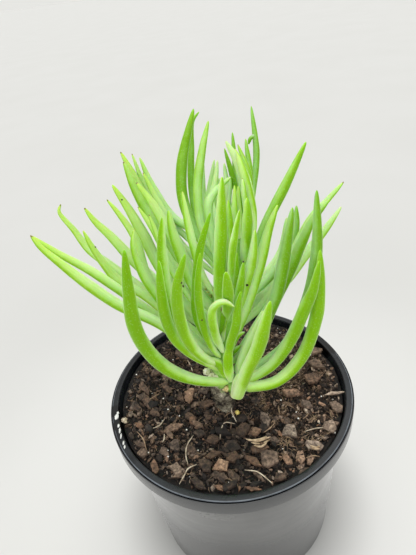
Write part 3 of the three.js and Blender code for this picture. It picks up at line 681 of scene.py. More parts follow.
YELLOW_TIPS = {
    "left_twin_front": 1.0, "left_twin_back": 1.0, "left_low_hooked": 0.9, "left_low_inner": 0.9,
    "left_mid_back": 1.0, "left_mid_front": 1.0, "left_mid_high": 1.0, "left_small_high": 0.9,
    "left_small_low": 0.8, "left_blunt": 0.5, "left_high_back": 1.0, "left_high_long": 0.4,
    "left_high_thin": 0.6, "left_high_dark": 0.5, "left_high_pale": 0.9, "left_high_last": 0.9,
    "left_bright": 0.7, "left_pale": 0.5, "top_right_long": 0.3, "top_yellow": 0.4, "top_twin_left": 0.8,
    "top_twin_right": 0.8, "top_right_short": 0.7, "mid_pale_tip": 0.6, "mid_tall": 0.5,
    "mid_right_big": 0.5, "right_arc_outer": 0.4,
    "crown_middle": 0.2, "top_back_brown": 0.6, "top_edge": 0.5,
}
DRY_TIPS = {
    "left_twin_front", "left_twin_back", "left_low_hooked", "left_mid_back", "left_mid_front",
    "left_small_high", "left_small_low", "left_high_back", "left_high_long", "left_high_thin",
    "left_high_last", "left_high_pale", "right_far_high", "top_yellow", "top_brown_tip", "top_edge",
}
for name, facts in LEAVES.items():
    leaf = grow_leaf(name, facts, "fine_" + name)
    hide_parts("leaf_" + name)
    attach(leaf, "root")
young = [grow_leaf(name, facts, name) for name, facts in YOUNG_LEAVES.items()]
young_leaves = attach(join(young, "young_leaves"), "root")
print(len(LEAVES), "leaves of", triangles(leaf), "triangles, young ones:", triangles(young_leaves))

# %% [markdown]
# ## The crested stem
#
# The stem is round where it leaves the soil and flattens upwards into a crest, because its growing
# tip has become a line. It is woody below, grey and corky with scars where leaves have dropped, and
# still green above, between the leaves. It is a stack of ellipses, joined into one skin. The stack
# comes from the CAD model and is refined here, and the skin is moved in and out by a noise for the
# cork and by a lattice of shallow dents for the scars.

# %% Stem shape
STEM_SECTIONS = [
    (106, -4.0, -11.5, 4.0, 4.0), (115, -4.0, -11.4, 4.8, 5.0), (123, -4.2, -11.2, 6.0, 6.2),
    (132, -4.5, -10.8, 7.0, 7.4), (140, -4.0, -9.5, 7.0, 10.0), (148, -3.0, -5.5, 6.8, 14.5),
    (156, -1.5, -3.0, 6.5, 17.0), (168, 0.0, -2.0, 6.5, 17.0), (180, 2.0, -1.5, 6.5, 16.0),
    (193, 5.0, -1.0, 7.0, 15.0), (207, 9.0, 0.0, 8.0, 13.5), (220, 13.0, 2.0, 8.5, 11.5),
    (230, 15.5, 4.0, 6.5, 8.5), (235, 16.5, 5.0, 3.5, 4.5),
]
STEM_SIDES = 110
STEM_RINGS = 170
SCAR_SPACING = 4.2
SCARS_ROUND = 9
SCAR_DEPTH = 0.55
CORK_DEPTH = 0.7
CORK_LUMPS_PER_MM = 0.45
GREEN_FROM, GREEN_OVER = 145, 8
GREEN_SMOOTHNESS = 0.85


def scar_dent(around, height):
    row = height / SCAR_SPACING
    column = around / (2 * math.pi) * SCARS_ROUND + 0.5 * (math.floor(row) % 2)
    across = (column % 1 - 0.5) * 2
    along = (row % 1 - 0.5) * 2
    reach = across * across * 1.6 + along * along * 3.0
    return max(0.0, 1 - reach)


def stem_ring(height):
    heights = [section[0] for section in STEM_SECTIONS]
    sizes = [np.interp(height, heights, [section[i] for section in STEM_SECTIONS]) for i in range(1, 5)]
    ring = []
    for side in range(STEM_SIDES):
        angle = side / STEM_SIDES * 2 * math.pi
        spot = Vector((math.cos(angle) * sizes[2], math.sin(angle) * sizes[3], height))
        cork = noise.fractal(spot * CORK_LUMPS_PER_MM, 0.9, 2.2, 4) * CORK_DEPTH
        dent = scar_dent(angle, height) * SCAR_DEPTH
        woody = 1 - min(max((height - GREEN_FROM) / GREEN_OVER, 0), 1) * GREEN_SMOOTHNESS
        outward = Vector((math.cos(angle), math.sin(angle), 0)) * (cork - dent) * woody
        ring.append(Vector((sizes[0], sizes[1], 0)) + spot + outward)
    return ring


def mesh_from(name, skin):
    mesh = bpy.data.meshes.new(name)
    skin.to_mesh(mesh)
    skin.free()
    return mesh


def loft(name, rings, first_point, last_point):
    skin = bmesh.new()
    rows = [[skin.verts.new(point * MM) for point in ring] for ring in rings]
    ends = [skin.verts.new(Vector(first_point) * MM), skin.verts.new(Vector(last_point) * MM)]
    sides = len(rows[0])
    for side in range(sides):
        following = (side + 1) % sides
        skin.faces.new((ends[0], rows[0][following], rows[0][side]))
        skin.faces.new((ends[1], rows[-1][side], rows[-1][following]))
        for low, high in zip(rows, rows[1:]):
            skin.faces.new((low[side], low[following], high[following], high[side]))
    bmesh.ops.recalc_face_normals(skin, faces=skin.faces)
    for face in skin.faces:
        face.smooth = True
    return in_scene(name, mesh_from(name, skin))


stem_heights = np.linspace(STEM_SECTIONS[0][0], STEM_SECTIONS[-1][0], STEM_RINGS)
stem = loft("fine_stem", [stem_ring(height) for height in stem_heights], (-4, -11.5, 104), (16.5, 5, 237))
print("stem triangles:", triangles(stem))

# %% [markdown]
# ## Bark of the stem
#
# Cork is dead, dry cells full of air. It has no gloss, scatters light evenly, and is mottled grey and
# olive, nearly brown in its cracks, with black specks. Towards its foot, under the leaves, it is
# darkened by painted shade. Where it is young, under the lowest leaves, it flakes and is as pale as
# straw. Above that it is still green tissue, so the colour goes from brown over straw to leaf green
# with height, sooner on the side of the shoot. The cork's relief is deep, and on the green it nearly
# vanishes.

# %% Bark
CRACKS_PER_METRE = 450
SPECKS_PER_METRE = 260
MOTTLES_PER_METRE, PATCHES_PER_METRE = 300.0, 130.0
# Heights in metres between which the colour changes
PALE_FROM, GREEN_TISSUE_FROM, SHADED_FOOT = (0.157, 0.164), (0.151, 0.156), (0.125, 0.15)


def corky_bark():
    material, tree, shader = new_material("corky_bark_over_green_tissue")
    spot = add(tree, "TexCoord").outputs["Object"]
    mottle = add(tree, "TexNoise", inputs={
        "Vector": spot, "Scale": MOTTLES_PER_METRE, "Detail": 6.0, "Roughness": 0.75})
    patch = add(tree, "TexNoise", inputs={"Vector": spot, "Scale": PATCHES_PER_METRE, "Detail": 3.0})
    blotch = add(tree, "Mix", inputs={"Factor": 0.5, "A": mottle, "B": patch})
    old = add(tree, "ValToRGB", {"stops": [
        (0.4, "#120e0a"), (0.455, "#352d24"), (0.5, "#5e5647"), (0.55, "#8c8571"), (0.63, "#c4bda7")]},
        [blotch])
    flaky = add(tree, "ValToRGB", {"stops": [
        (0.32, "#6b6a44"), (0.44, "#a9ab7e"), (0.55, "#d2d4ac"), (0.68, "#f0efd6")]}, [mottle])
    tissue = add(tree, "ValToRGB", {"stops": [
        (0.3, "#78b034"), (0.5, "#8cc44a"), (0.7, "#b0da7c")]}, [mottle])
    parts = add(tree, "SeparateXYZ", inputs=[spot]).outputs
    lifted = add(tree, "Math", "MULTIPLY_ADD", [patch, 0.03, parts["Z"]])
    leaning = add(tree, "Math", "MULTIPLY_ADD", [parts["X"], 1.2, lifted])
    young = add(tree, "MapRange", inputs=[lifted, *PALE_FROM])
    green = add(tree, "MapRange", inputs=[leaning, *GREEN_TISSUE_FROM])
    # Painted shade: the bark is darker towards its foot, under the leaves.
    low = add(tree, "MapRange", inputs=[lifted, *SHADED_FOOT, 0.68, 0.95])
    cracks = add(
        tree, "TexVoronoi", {"feature": "DISTANCE_TO_EDGE"}, {"Vector": spot, "Scale": CRACKS_PER_METRE})
    crack = add(tree, "MapRange", inputs=[cracks, 0, 0.08, 0.5, 1])
    specks = add(tree, "TexVoronoi", inputs={"Vector": spot, "Scale": SPECKS_PER_METRE})
    speck = add(tree, "MapRange", inputs=[specks, 0.14, 0.26, 0.3, 1])
    shade = add(tree, "Math", "MULTIPLY", [crack, low])
    shade = add(tree, "Math", "MULTIPLY", [shade, speck])
    shaded = add(tree, "VectorMath", "SCALE", {0: old, "Scale": shade})
    pale = add(tree, "Mix", COLOURS, {"Factor": young, 6: shaded, 7: flaky})
    mixed = add(tree, "Mix", COLOURS, {"Factor": green, 6: pale, 7: tissue})
    relief = add(tree, "MapRange", inputs=[green, 0, 1, 0.8, 0.12])
    bump = add(tree, "Bump", inputs={"Height": mottle, "Strength": relief, "Distance": 0.001})
    fill(shader, {"Base Color": mixed, "Roughness": 0.85, "IOR": 1.45, "Normal": bump})
    return material


stem.data.materials.append(corky_bark())
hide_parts("crested_stem")
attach(stem, "root")
print("stem box, mm:", [round(v / MM) for v in stem.dimensions])

# %% [markdown]
# ## Side shoot
#
# At the front the stem carries a short thick shoot, which bears the front leaves. It is a lumpy knob
# of green tissue: a ball, pushed out and in by a noise.

# %% Side shoot
def knob(name, centre, half_size, seed, finish, levels=3, lumps=0.1):
    ball = bmesh.new()
    bmesh.ops.create_icosphere(ball, subdivisions=levels, radius=1.0)
    for vert in ball.verts:
        lump = 1 + lumps * noise.noise(vert.co * 2.2 + Vector((seed, 0, 0)))
        vert.co = Vector([c + h * v for c, h, v in zip(centre, half_size, vert.co * lump)]) * MM
    for face in ball.faces:
        face.smooth = True
    made = in_scene(name, mesh_from(name, ball))
    made.data.materials.append(finish)
    return made


shoot = knob("side_shoot", (3, -17, 140), (6.3, 6.8, 6.8), 3.1, stem.data.materials[0], levels=5)
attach(shoot, "root")
print("side shoot, mm:", [round(v / MM, 1) for v in shoot.dimensions])

# %% [markdown]
# ## Dry buds and dead bits
#
# Under the lowest leaves sit a few buds that never opened and have dried to pale, papery scales.
# Higher up, scraps of dead flower stalk and scale hang between the leaves. They are lumpy knobs too,
# with stronger lumps, so that each looks crumpled. Their finish follows a rule that also serves the
# fibres, the roots and the prill further on: a noise picks the tint of each spot from a short ramp.

# %% Dry buds
BUDS = [
    ((-11.6, -12.0, 149.6), (2.2, 1.9, 2.3)), ((-9.0, -14.6, 148.0), (2.3, 1.7, 2.1)),
    ((-6.0, -17.4, 149.2), (2.2, 1.5, 1.7)), ((-3.2, -19.3, 147.0), (1.6, 1.3, 1.5)),
    ((-9.6, -13.0, 145.0), (1.6, 1.4, 1.8)),
]
TAN_BUDS = [((-1.8, -20.3, 142.2), (1.5, 1.3, 2.4)), ((-3.6, -18.6, 140.6), (1.2, 1.1, 1.5))]
SCRAPS = [
    ((-5.2, 4.2, 195.9), (0.6, 0.5, 0.8)), ((-3.9, 3.2, 194.3), (1.4, 0.5, 0.45)),
    ((-3.1, 2.4, 192.1), (0.8, 0.5, 1.1)), ((-1.9, -9.4, 204.2), (0.3, 0.3, 0.9)),
    ((-4.4, -5.2, 190.8), (1.1, 0.9, 1.3)), ((-3.0, -5.0, 187.5), (1.0, 0.9, 1.6)),
]
STALK_BITS = [((1.2, -16.2, 195.7), (0.35, 0.35, 2.0)), ((0.1, -17.0, 184.6), (0.5, 0.45, 1.8))]
PAPERY_LOOK = (
    0.8, {"Scale": 600.0, "Detail": 5.0, "Roughness": 0.7}, {"Strength": 0.6, "Distance": 0.0005})


def mottled(name, stops, roughness, spots, relief=None):
    material, tree, shader = new_material(name)
    spot = add(tree, "TexCoord").outputs["Object"]
    mottle = add(tree, "TexNoise", inputs={"Vector": spot, **spots})
    tint = add(tree, "ValToRGB", {"stops": stops}, [mottle])
    fill(shader, {"Base Color": tint, "Roughness": roughness})
    if relief:
        fill(shader, {"Normal": add(tree, "Bump", inputs={"Height": mottle, **relief})})
    return material


PAPERY = [
    ("dry_buds", BUDS, [(0.34, "#a3a06c"), (0.46, "#e0dfb2"), (0.58, "#fafae4"), (0.7, "#ffffff")]),
    ("tan_buds", TAN_BUDS, [(0.34, "#94763f"), (0.48, "#d8c27a"), (0.62, "#f6ecb4")]),
    ("dead_scraps", SCRAPS, [(0.34, "#6e5a34"), (0.46, "#b0a254"), (0.56, "#d6dc86"), (0.7, "#f2f2dc")]),
    ("stalk_bits", STALK_BITS, [(0.35, "#8a5a44"), (0.6, "#c08a6c")]),
]
for name, places, stops in PAPERY:
    finish = mottled("papery_" + name, stops, *PAPERY_LOOK)
    knobs = [knob(f"{name}_{i}", *place, 2.7 * i, finish, lumps=0.45) for i, place in enumerate(places)]
    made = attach(join(knobs, name), "root")
    print(name, "triangles:", triangles(made))

# %% [markdown]
# ## The ground under the bark mix
#
# The potting mix is composted bark with its crumbs and dust washed down between the chips. Under the
# chips lies one dark, lumpy ground that fills the pot. It is a disc of rings whose height follows a
# noise. It is banked up at the stem and along the pot, hollow in front of the stem, and closed below.

# %% Ground
GROUND_RADIUS = 69.2
GROUND_HEIGHT = 113.4
GROUND_RINGS = 110
GROUND_SIDES = 230
GROUND_BELOW = [(68.9, 112), (68.6, 111.5), (67.2, 107.5), (60.8, 2.4)]
DOME_RISE, EDGE_RISE, LUMP_RISE, CRUMB_RISE = 1.6, 3.4, 1.3, 0.7
EDGE_FROM, EDGE_OVER = 0.55, 0.4
LUMPS_PER_MM, CRUMBS_PER_MM = 0.09, 0.5
HOLLOW_DEPTH, HOLLOW_MIDDLE, HOLLOW_SPREAD = 0.9, (1, -27), 60
BANK_RISE, BANK_MIDDLE, BANK_SPREAD = 2.2, (-4, -12), 90


def mound(x, y, middle, spread):
    return math.exp(-((x - middle[0]) ** 2 + (y - middle[1]) ** 2) / spread)


def ground_height(x, y):
    reach = math.hypot(x, y) / GROUND_RADIUS
    dome = DOME_RISE * (1 - reach * reach)
    hollow = HOLLOW_DEPTH * mound(x, y, HOLLOW_MIDDLE, HOLLOW_SPREAD)
    bank = BANK_RISE * mound(x, y, BANK_MIDDLE, BANK_SPREAD)
    wall = min(max((reach - EDGE_FROM) / EDGE_OVER, 0), 1)
    edge = EDGE_RISE * wall * wall * (3 - 2 * wall)
    lumps = noise.fractal(Vector((x, y, 3.0)) * LUMPS_PER_MM, 1.0, 2.0, 3) * LUMP_RISE
    crumbs = noise.fractal(Vector((x, y, 9.0)) * CRUMBS_PER_MM, 0.8, 2.1, 4) * CRUMB_RISE
    return GROUND_HEIGHT + dome - hollow + bank + edge + lumps + crumbs


def ground_ring(radius, height=None):
    ring = []
    for side in range(GROUND_SIDES):
        angle = side / GROUND_SIDES * 2 * math.pi
        x, y = radius * math.cos(angle), radius * math.sin(angle)
        ring.append(Vector((x, y, ground_height(x, y) if height is None else height)))
    return ring


rings = [ground_ring(GROUND_RADIUS * (step + 1) / GROUND_RINGS) for step in range(GROUND_RINGS)]
rings += [ground_ring(radius, height) for radius, height in GROUND_BELOW]
ground = loft("ground", rings, (0, 0, ground_height(0, 0)), (0, 0, GROUND_BELOW[-1][1]))
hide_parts("potting_soil")
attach(ground, "root")
print("ground triangles:", triangles(ground))

# %% [markdown]
# ## Finish of the bark mix
#
# Composted pine bark is brittle and matt. Damp pieces are nearly black and dry ones brown, grey or
# orange, so each chip gets a tone and a greyness of its own as numbers on its mesh. A fine noise
# gives the layers of the bark, about a millimetre apart. In front of the stem the plant's shadow is
# painted in, so the mix is darker there, and towards the right it is paler.

# %% Bark finish
BARK_LAYERS_PER_METRE = 700
DUST_PER_METRE = 330
PLANT_SHADOW_MIDDLE = (0.003, -0.038, 0.0)
PLANT_SHADOW_REACH = 0.04
PALER_SIDE_REACH = 0.04


def composted_bark():
    material, tree, shader = new_material("composted_pine_bark")
    spot = add(tree, "TexCoord").outputs["Object"]
    tone = add(tree, "Attribute", {"attribute_name": "bark_tone"}).outputs["Fac"]
    grey = add(tree, "Attribute", {"attribute_name": "bark_grey"}).outputs["Fac"]
    grain = add(tree, "TexNoise", inputs={
        "Vector": spot, "Scale": BARK_LAYERS_PER_METRE, "Detail": 5.0, "Roughness": 0.7})
    dust = add(tree, "TexNoise", inputs={"Vector": spot, "Scale": DUST_PER_METRE, "Detail": 3.0})
    shade = add(tree, "Math", "SUBTRACT", [dust, 0.5])
    shade = add(tree, "Math", "MULTIPLY_ADD", [shade, 0.7, tone])
    brown = add(tree, "ValToRGB", {"stops": [
        (0.0, "#0a0503"), (0.22, "#2b1e16"), (0.45, "#5c4534"), (0.72, "#89654c"), (1.0, "#c49e7c")]},
        [shade])
    ash = add(tree, "ValToRGB", {"stops": [
        (0.0, "#0c0a09"), (0.22, "#2e2622"), (0.45, "#66594f"), (0.72, "#a19385"), (1.0, "#d6cbbc")]},
        [shade])
    mixed = add(tree, "Mix", COLOURS, {"Factor": grey, 6: brown, 7: ash})
    grained = add(tree, "MapRange", inputs=[grain, 0.32, 0.68, 0.22, 1.92])
    # Painted shadow of the plant, darkest in front of the stem.
    from_plant_shadow = add(tree, "VectorMath", "SUBTRACT", [spot, PLANT_SHADOW_MIDDLE])
    from_plant_shadow = add(tree, "VectorMath", "MULTIPLY", [from_plant_shadow, (1, 1, 0)])
    far = add(tree, "VectorMath", "LENGTH", [from_plant_shadow])
    painted_plant_shadow = add(tree, "MapRange", SMOOTHLY, [far, 0, PLANT_SHADOW_REACH, 0.34, 0.92])
    # The mix is paler towards the right.
    across = add(tree, "SeparateXYZ", inputs=[spot]).outputs["X"]
    dried = add(tree, "MapRange", inputs=[across, 0, PALER_SIDE_REACH, 1, 1.65])
    strength = add(tree, "Math", "MULTIPLY", [grained, painted_plant_shadow])
    strength = add(tree, "Math", "MULTIPLY", [strength, dried])
    final = add(tree, "VectorMath", "SCALE", {0: mixed, "Scale": strength})
    bump = add(tree, "Bump", inputs={"Height": grain, "Strength": 0.9, "Distance": 0.0006})
    fill(shader, {"Base Color": final, "Roughness": 0.8, "Normal": bump})
    return material


def mark(piece, tone, grey):
    for name, value in (("bark_tone", tone), ("bark_grey", grey)):
        attribute = piece.data.attributes.new(name, "FLOAT", "POINT")
        attribute.data.foreach_set("value", np.full(len(piece.data.vertices), value, np.float32))


bark = composted_bark()
ground.data.materials.append(bark)
# The ground gets the darkest tone: it is fine dark soil, and its darkness also serves as painted shade in
# the gaps between the chips.
mark(ground, 0.0, 0.2)
print("bark nodes:", len(bark.node_tree.nodes))

# %% [markdown]
# ## Shapes of the chips
#
# A bark chip is a flat flake with a broken outline and blunt edges. A few different flakes are
# enough, because turned and scaled at random no two look the same. They wait in a collection that
# isn't in the scene, for a Geometry Nodes tree to pick from. Each has a few dozen faces.

# %% Chip shapes
CHIP_KINDS = 8
CORNER_SHIFT, CORNER_REACH = 0.3, (0.75, 1.08)
JAG, WOBBLE = 0.035, 0.05
rng = np.random.default_rng(41)


def as_object(name, skin):
    bmesh.ops.recalc_face_normals(skin, faces=skin.faces)
    return bpy.data.objects.new(name, mesh_from(name, skin))


def outline(corners, breaks):
    shifts = rng.uniform(-CORNER_SHIFT, CORNER_SHIFT, corners)
    angles = (np.arange(corners) + shifts) / corners * 2 * math.pi
    reach = rng.uniform(*CORNER_REACH, corners)
    known = [Vector((r * math.cos(a), r * math.sin(a), 0)) / 2 for a, r in zip(angles, reach)]
    points = []
    for here, there in zip(known, known[1:] + known[:1]):
        for step in range(breaks):
            jag = Vector(rng.uniform(-JAG, JAG, 3)) if step else Vector((0, 0, 0))
            points.append(here.lerp(there, step / breaks) + jag)
    return points


def flake(name, corners, breaks, thickness, levels):
    skin = bmesh.new()
    edge = outline(corners, breaks)
    rows = []
    for height, inset in levels:
        wobble = rng.uniform(-WOBBLE, WOBBLE, len(edge))
        rows.append([skin.verts.new((p.x * inset, p.y * inset, (height + w) * thickness / 2))
                     for p, w in zip(edge, wobble)])
    for low, high in zip(rows, rows[1:]):
        for side in range(len(edge)):
            following = (side + 1) % len(edge)
            skin.faces.new((low[side], low[following], high[following], high[side]))
    skin.faces.new(rows[0])
    middle = skin.verts.new((0, 0, (levels[-1][0] + rng.uniform(-0.1, 0.1)) * thickness / 2))
    for side, vert in enumerate(rows[-1]):
        skin.faces.new((vert, rows[-1][(side + 1) % len(edge)], middle))
    return as_object(name, skin)


def crumb(name):
    skin = bmesh.new()
    bmesh.ops.create_icosphere(skin, subdivisions=1, radius=0.5)
    for vert in skin.verts:
        vert.co = Vector(np.array(vert.co) * rng.uniform(0.55, 1.1, 3))
    return as_object(name, skin)


# The height, from -1 to 1, and the width of each level of a flake, from its underside to its top
SMALL_LEVELS = [(-1.0, 0.8), (0.3, 1.0), (1.0, 0.85)]
SMALL_THICKNESS = (0.22, 0.42)
chip_shapes = bpy.data.collections.new("chip_shapes")
crumb_shapes = bpy.data.collections.new("crumb_shapes")
for kind in range(CHIP_KINDS):
    thickness = rng.uniform(*SMALL_THICKNESS)
    chip_shapes.objects.link(flake(f"flake_{kind}", 4 + kind % 3, 2 - kind % 2, thickness, SMALL_LEVELS))
    crumb_shapes.objects.link(crumb(f"crumb_{kind}"))

# %% [markdown]
# ## Scattering
#
# Chips, crumbs and perlite repeat by the hundred, so one Geometry Nodes tree scatters them all. It
# drops points on the ground no closer than a given spacing, picks a shape for each, turns and
# scales it at random from a fixed seed, and writes its tone on the mesh. All its random values are
# made in one loop, each from its own seed.

# %% Geometry Nodes tree of the scatter
SCATTER_INPUTS = {
    "Spacing": 0.003, "Density": 60000.0, "Smallest": 0.002, "Largest": 0.005, "Tilt": 0.5, "Lift": 0.0005,
    "Darkest": 0.1, "Lightest": 0.6, "Greyest": 0.5, "Share At Back": 1.0,
}
BACK_RIGHT = (0.7, 0.7, 0.0)
WIDTH_SHARES = (0.24, 0.8)
THICKNESS_SHARE = 0.8
LIFT_SHARES = (0.2, 1.8)
LIFT_SEED = 9
SIZE_POWER = 1.8
FEWER_FROM, FEWER_TO = -0.02, 0.02


def scatter_tree():
    tree, given = open_tree("scatter_on_ground", SCATTER_INPUTS, {"Seed": 1}, "Ground")
    tree.interface.new_socket("Shapes", in_out="INPUT", socket_type="NodeSocketCollection")
    back = add(tree, "Math", "MULTIPLY", [given["Tilt"], -1.0])
    draws = {
        "tilt_x": (back, given["Tilt"]), "tilt_y": (back, given["Tilt"]), "turn": (0.0, 2 * math.pi),
        "size": (0.0, 1.0), "width": WIDTH_SHARES, "kind": (0, CHIP_KINDS - 1),
        "tone": (given["Darkest"], given["Lightest"]), "grey": (0.0, given["Greyest"]), "lift": LIFT_SHARES}
    for step, (name, (low, high)) in enumerate(draws.items()):
        seed = add(tree, "Math", "ADD", [given["Seed"], LIFT_SEED if name == "lift" else step])
        kind, first = ("INT", 4) if name == "kind" else ("FLOAT", 2)
        draws[name] = add(tree, "FunctionNodeRandomValue", {"data_type": kind}, {
            first: low, first + 1: high, "Seed": seed})
    spot = add(tree, "GeometryNodeInputPosition")
    depth = add(tree, "VectorMath", "DOT_PRODUCT", [spot, BACK_RIGHT])
    fewer = add(tree, "MapRange", inputs=[depth, FEWER_FROM, FEWER_TO, 1, given["Share At Back"]])
    points = add(tree, "GeometryNodeDistributePointsOnFaces", {"distribute_method": "POISSON"}, {
        "Mesh": given["Ground"], "Distance Min": given["Spacing"], "Density Max": given["Density"],
        "Density Factor": fewer, "Seed": given["Seed"]})
    height = add(tree, "Math", "MULTIPLY", [given["Lift"], draws["lift"]])
    lift = add(tree, "CombineXYZ", inputs={"Z": height})
    raised = add(tree, "GeometryNodeSetPosition", inputs={"Geometry": points, "Offset": lift})
    collection = tree.nodes["Group Input"].outputs["Shapes"]
    shapes = add(tree, "GeometryNodeCollectionInfo", inputs={
        "Collection": collection, "Separate Children": True, "Reset Children": True})
    turn = add(tree, "CombineXYZ", inputs=[draws["tilt_x"], draws["tilt_y"], draws["turn"]])
    rotation = add(tree, "FunctionNodeEulerToRotation", inputs={"Euler": turn})
    share = add(tree, "Math", "POWER", [draws["size"], SIZE_POWER])
    span = add(tree, "Math", "SUBTRACT", [given["Largest"], given["Smallest"]])
    length = add(tree, "Math", "MULTIPLY_ADD", [share, span, given["Smallest"]])
    width = add(tree, "Math", "MULTIPLY", [length, draws["width"]])
    thickness = add(tree, "Math", "MULTIPLY", [length, THICKNESS_SHARE])
    scale = add(tree, "CombineXYZ", inputs=[length, width, thickness])
    marked = add(tree, "GeometryNodeInstanceOnPoints", inputs={
        "Points": raised, "Instance": shapes, "Pick Instance": True, "Instance Index": draws["kind"],
        "Rotation": rotation, "Scale": scale})
    for name in ("tone", "grey"):
        marked = add(tree, "GeometryNodeStoreNamedAttribute", {"data_type": "FLOAT", "domain": "INSTANCE"},
                     {"Geometry": marked, "Name": "bark_" + name, "Value": draws[name]})
    close_tree(tree, marked, given["Material"])
    return tree


scatter_rule = scatter_tree()


def top_of_ground():
    carrier = ground.copy()
    carrier.data = ground.data.copy()
    carrier.parent = None
    carrier.name = "top_of_ground"
    scene.collection.objects.link(carrier)
    top = bmesh.new()
    top.from_mesh(carrier.data)
    inner = (GROUND_RADIUS - 1.5) * MM
    low = (GROUND_HEIGHT - 6) * MM
    unwanted = [v for v in top.verts if v.co.z < low or v.co.xy.length > inner or not v.link_faces]
    bmesh.ops.delete(top, geom=unwanted, context="VERTS")
    top.to_mesh(carrier.data)
    top.free()
    return carrier


def scatter(name, shapes, **values):
    carrier = top_of_ground()
    made = run_tree(carrier, scatter_rule, {"Shapes": shapes, **values}, name)
    bpy.data.objects.remove(carrier)
    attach(made, "root")
    print(name, "triangles:", triangles(made))
    return made


# %% [markdown]
# The mix is a sieved one, so its grains come in three sizes: crumbs of a millimetre or two that
# cover the ground, small chips over them, and middle chips that lie flatter. The middle ones have
# gathered in front of the stem, and there are few of them at the back right.

# %% Crumbs and chips
scatter("bark_crumbs", crumb_shapes, Spacing=0.0012, Density=900000.0, Smallest=0.0008, Largest=0.0028,
        Tilt=1.5, Lift=0.0005, Darkest=0.0, Lightest=0.62, Greyest=0.9, Seed=11, Material=bark)
scatter("small_chips", chip_shapes, Spacing=0.0019, Density=260000.0, Smallest=0.0018, Largest=0.0058,
        Tilt=0.8, Lift=0.0011, Darkest=0.0, Lightest=0.7, Greyest=0.9, Seed=23, Material=bark)
scatter("middle_chips", chip_shapes, Spacing=0.0056, Density=65000.0, Smallest=0.005, Largest=0.0105,
        Tilt=0.38, Lift=0.0016, Darkest=0.0, Lightest=0.62, Greyest=0.8, Seed=31, Material=bark,
        **{"Share At Back": 0.12})

# %% [markdown]
# ## The large chips
#
# The largest flakes catch the eye, so they lie where they lie on the real one. Each is listed with
# its place, length and width in millimetres, its heading in degrees, its tone and its greyness.

# %% Large chips
LARGE_CHIPS = [
    (-11, -52, 9.4, 7.1, 17, 0.85, 0.1), (-4, -48, 8.0, 6.6, -22, 0.55, 0.1),
    (4, -31, 7.3, 8.6, -26, 0.5, 0.2), (11, -33, 8.3, 5.5, 4, 0.78, 0.1),
    (11, -44, 11.1, 5.8, -6, 0.55, 0.1), (-14, -34, 8.8, 4.8, -14, 0.45, 0.1),
    (-15, -44, 10.2, 4.6, 1, 0.5, 0.1), (7, -53, 10.1, 4.3, -41, 0.6, 0.1),
    (-19, -51, 9.2, 6.0, -54, 0.35, 0.3), (-35, -50, 9.7, 6.2, -27, 0.6, 0.6),
    (-36, -35, 7.4, 5.4, -47, 0.35, 0.7), (-37, -22, 10.9, 4.7, 17, 0.6, 0.3),
    (-48, -10, 9.4, 4.6, -57, 0.4, 0.2), (-53, -1, 10.5, 5.3, -59, 0.45, 0.2),
    (-26, 0, 11.3, 5.7, -103, 0.7, 0.2), (-32, 1, 9.0, 4.1, -75, 0.35, 0.2),
    (-16, -9, 8.9, 5.0, 5, 0.4, 0.2), (-15, -17, 7.7, 4.9, -118, 0.4, 0.2),
    (38, -9, 13.3, 7.3, -28, 0.5, 0.2), (53, -2, 9.2, 9.0, 5, 0.35, 0.1),
    (18, -26, 7.8, 5.2, -74, 0.5, 0.7), (30, -36, 11.2, 7.9, -73, 0.5, 0.9),
    (52, -39, 7.6, 6.8, -15, 0.45, 0.7), (15, -53, 10.3, 8.1, -33, 0.5, 0.5),
    (25, -54, 7.0, 5.5, -39, 0.6, 0.2), (32, -54, 7.7, 4.5, -93, 0.58, 0.3),
    (41, -49, 10.1, 4.6, -17, 0.45, 0.9), (62, -16, 13.4, 2.1, -1, 0.62, 0.8),
    (-3, -40, 9.2, 6.3, -30, 0.3, 0.3), (-12, -65, 6.9, 2.4, -18, 0.6, 0.1),
    (4, -68, 7.6, 2.9, -5, 0.55, 0.1), (-24, -61, 8.5, 4.8, -40, 0.3, 0.4),
    (-5, -59, 7.8, 5.0, -55, 0.4, 0.4), (-12, -59, 8.2, 4.6, -21, 0.45, 0.4),
    (-55, 11, 12.4, 4.8, -66, 0.45, 0.2), (-47, -48, 8.3, 3.5, -78, 0.5, 0.1),
    (18, -64, 8.1, 4.8, 29, 0.35, 0.3), (-21, -29, 7.7, 5.3, -36, 0.3, 0.5),
    (3, -22, 9.3, 5.8, -33, 0.12, 0.3), (-8, -30, 10.2, 5.9, -42, 0.15, 0.3),
    (-60, -4, 10.0, 4.0, -61, 0.3, 0.2), (60, 21, 11.5, 6.1, -2, 0.4, 0.4),
    (59, 8, 11.6, 6.5, -39, 0.35, 0.4), (41, 7, 9.5, 6.3, -33, 0.3, 0.2),
    (-26, -16, 8.6, 4.3, -47, 0.35, 0.2), (-56, -32, 8.9, 3.9, -36, 0.35, 0.4),
    (-42, -39, 6.9, 4.2, -42, 0.4, 0.5), (-27, -39, 7.6, 4.5, -29, 0.35, 0.3),
    (32, -62, 8.4, 3.4, 23, 0.4, 0.4), (-41, 10, 9.5, 3.9, 124, 0.4, 0.2),
    (-8, -65, 8.3, 4.0, 22, 0.2, 0.3), (20, -40, 7.6, 4.2, -29, 0.45, 0.6),
    (44, -20, 8.4, 5.4, -48, 0.4, 0.7), (-30, 38, 11.4, 5.8, -43, 0.35, 0.3),
    (-47, 24, 9.1, 6.0, -138, 0.35, 0.2), (15, -11, 9.1, 4.8, 26, 0.25, 0.3),
    (60, -26, 7.6, 5.4, -45, 0.4, 0.6),
]
LARGE_CHIP_LIFT = 2.1
LIFT_BY_WIDTH = 0.08
LARGE_CHIP_TILT_X, LARGE_CHIP_TILT_Y = 0.25, 0.22
THICKNESS_OF_WIDTH, THINNEST, THICKEST = 0.7, 1.8, 5.0
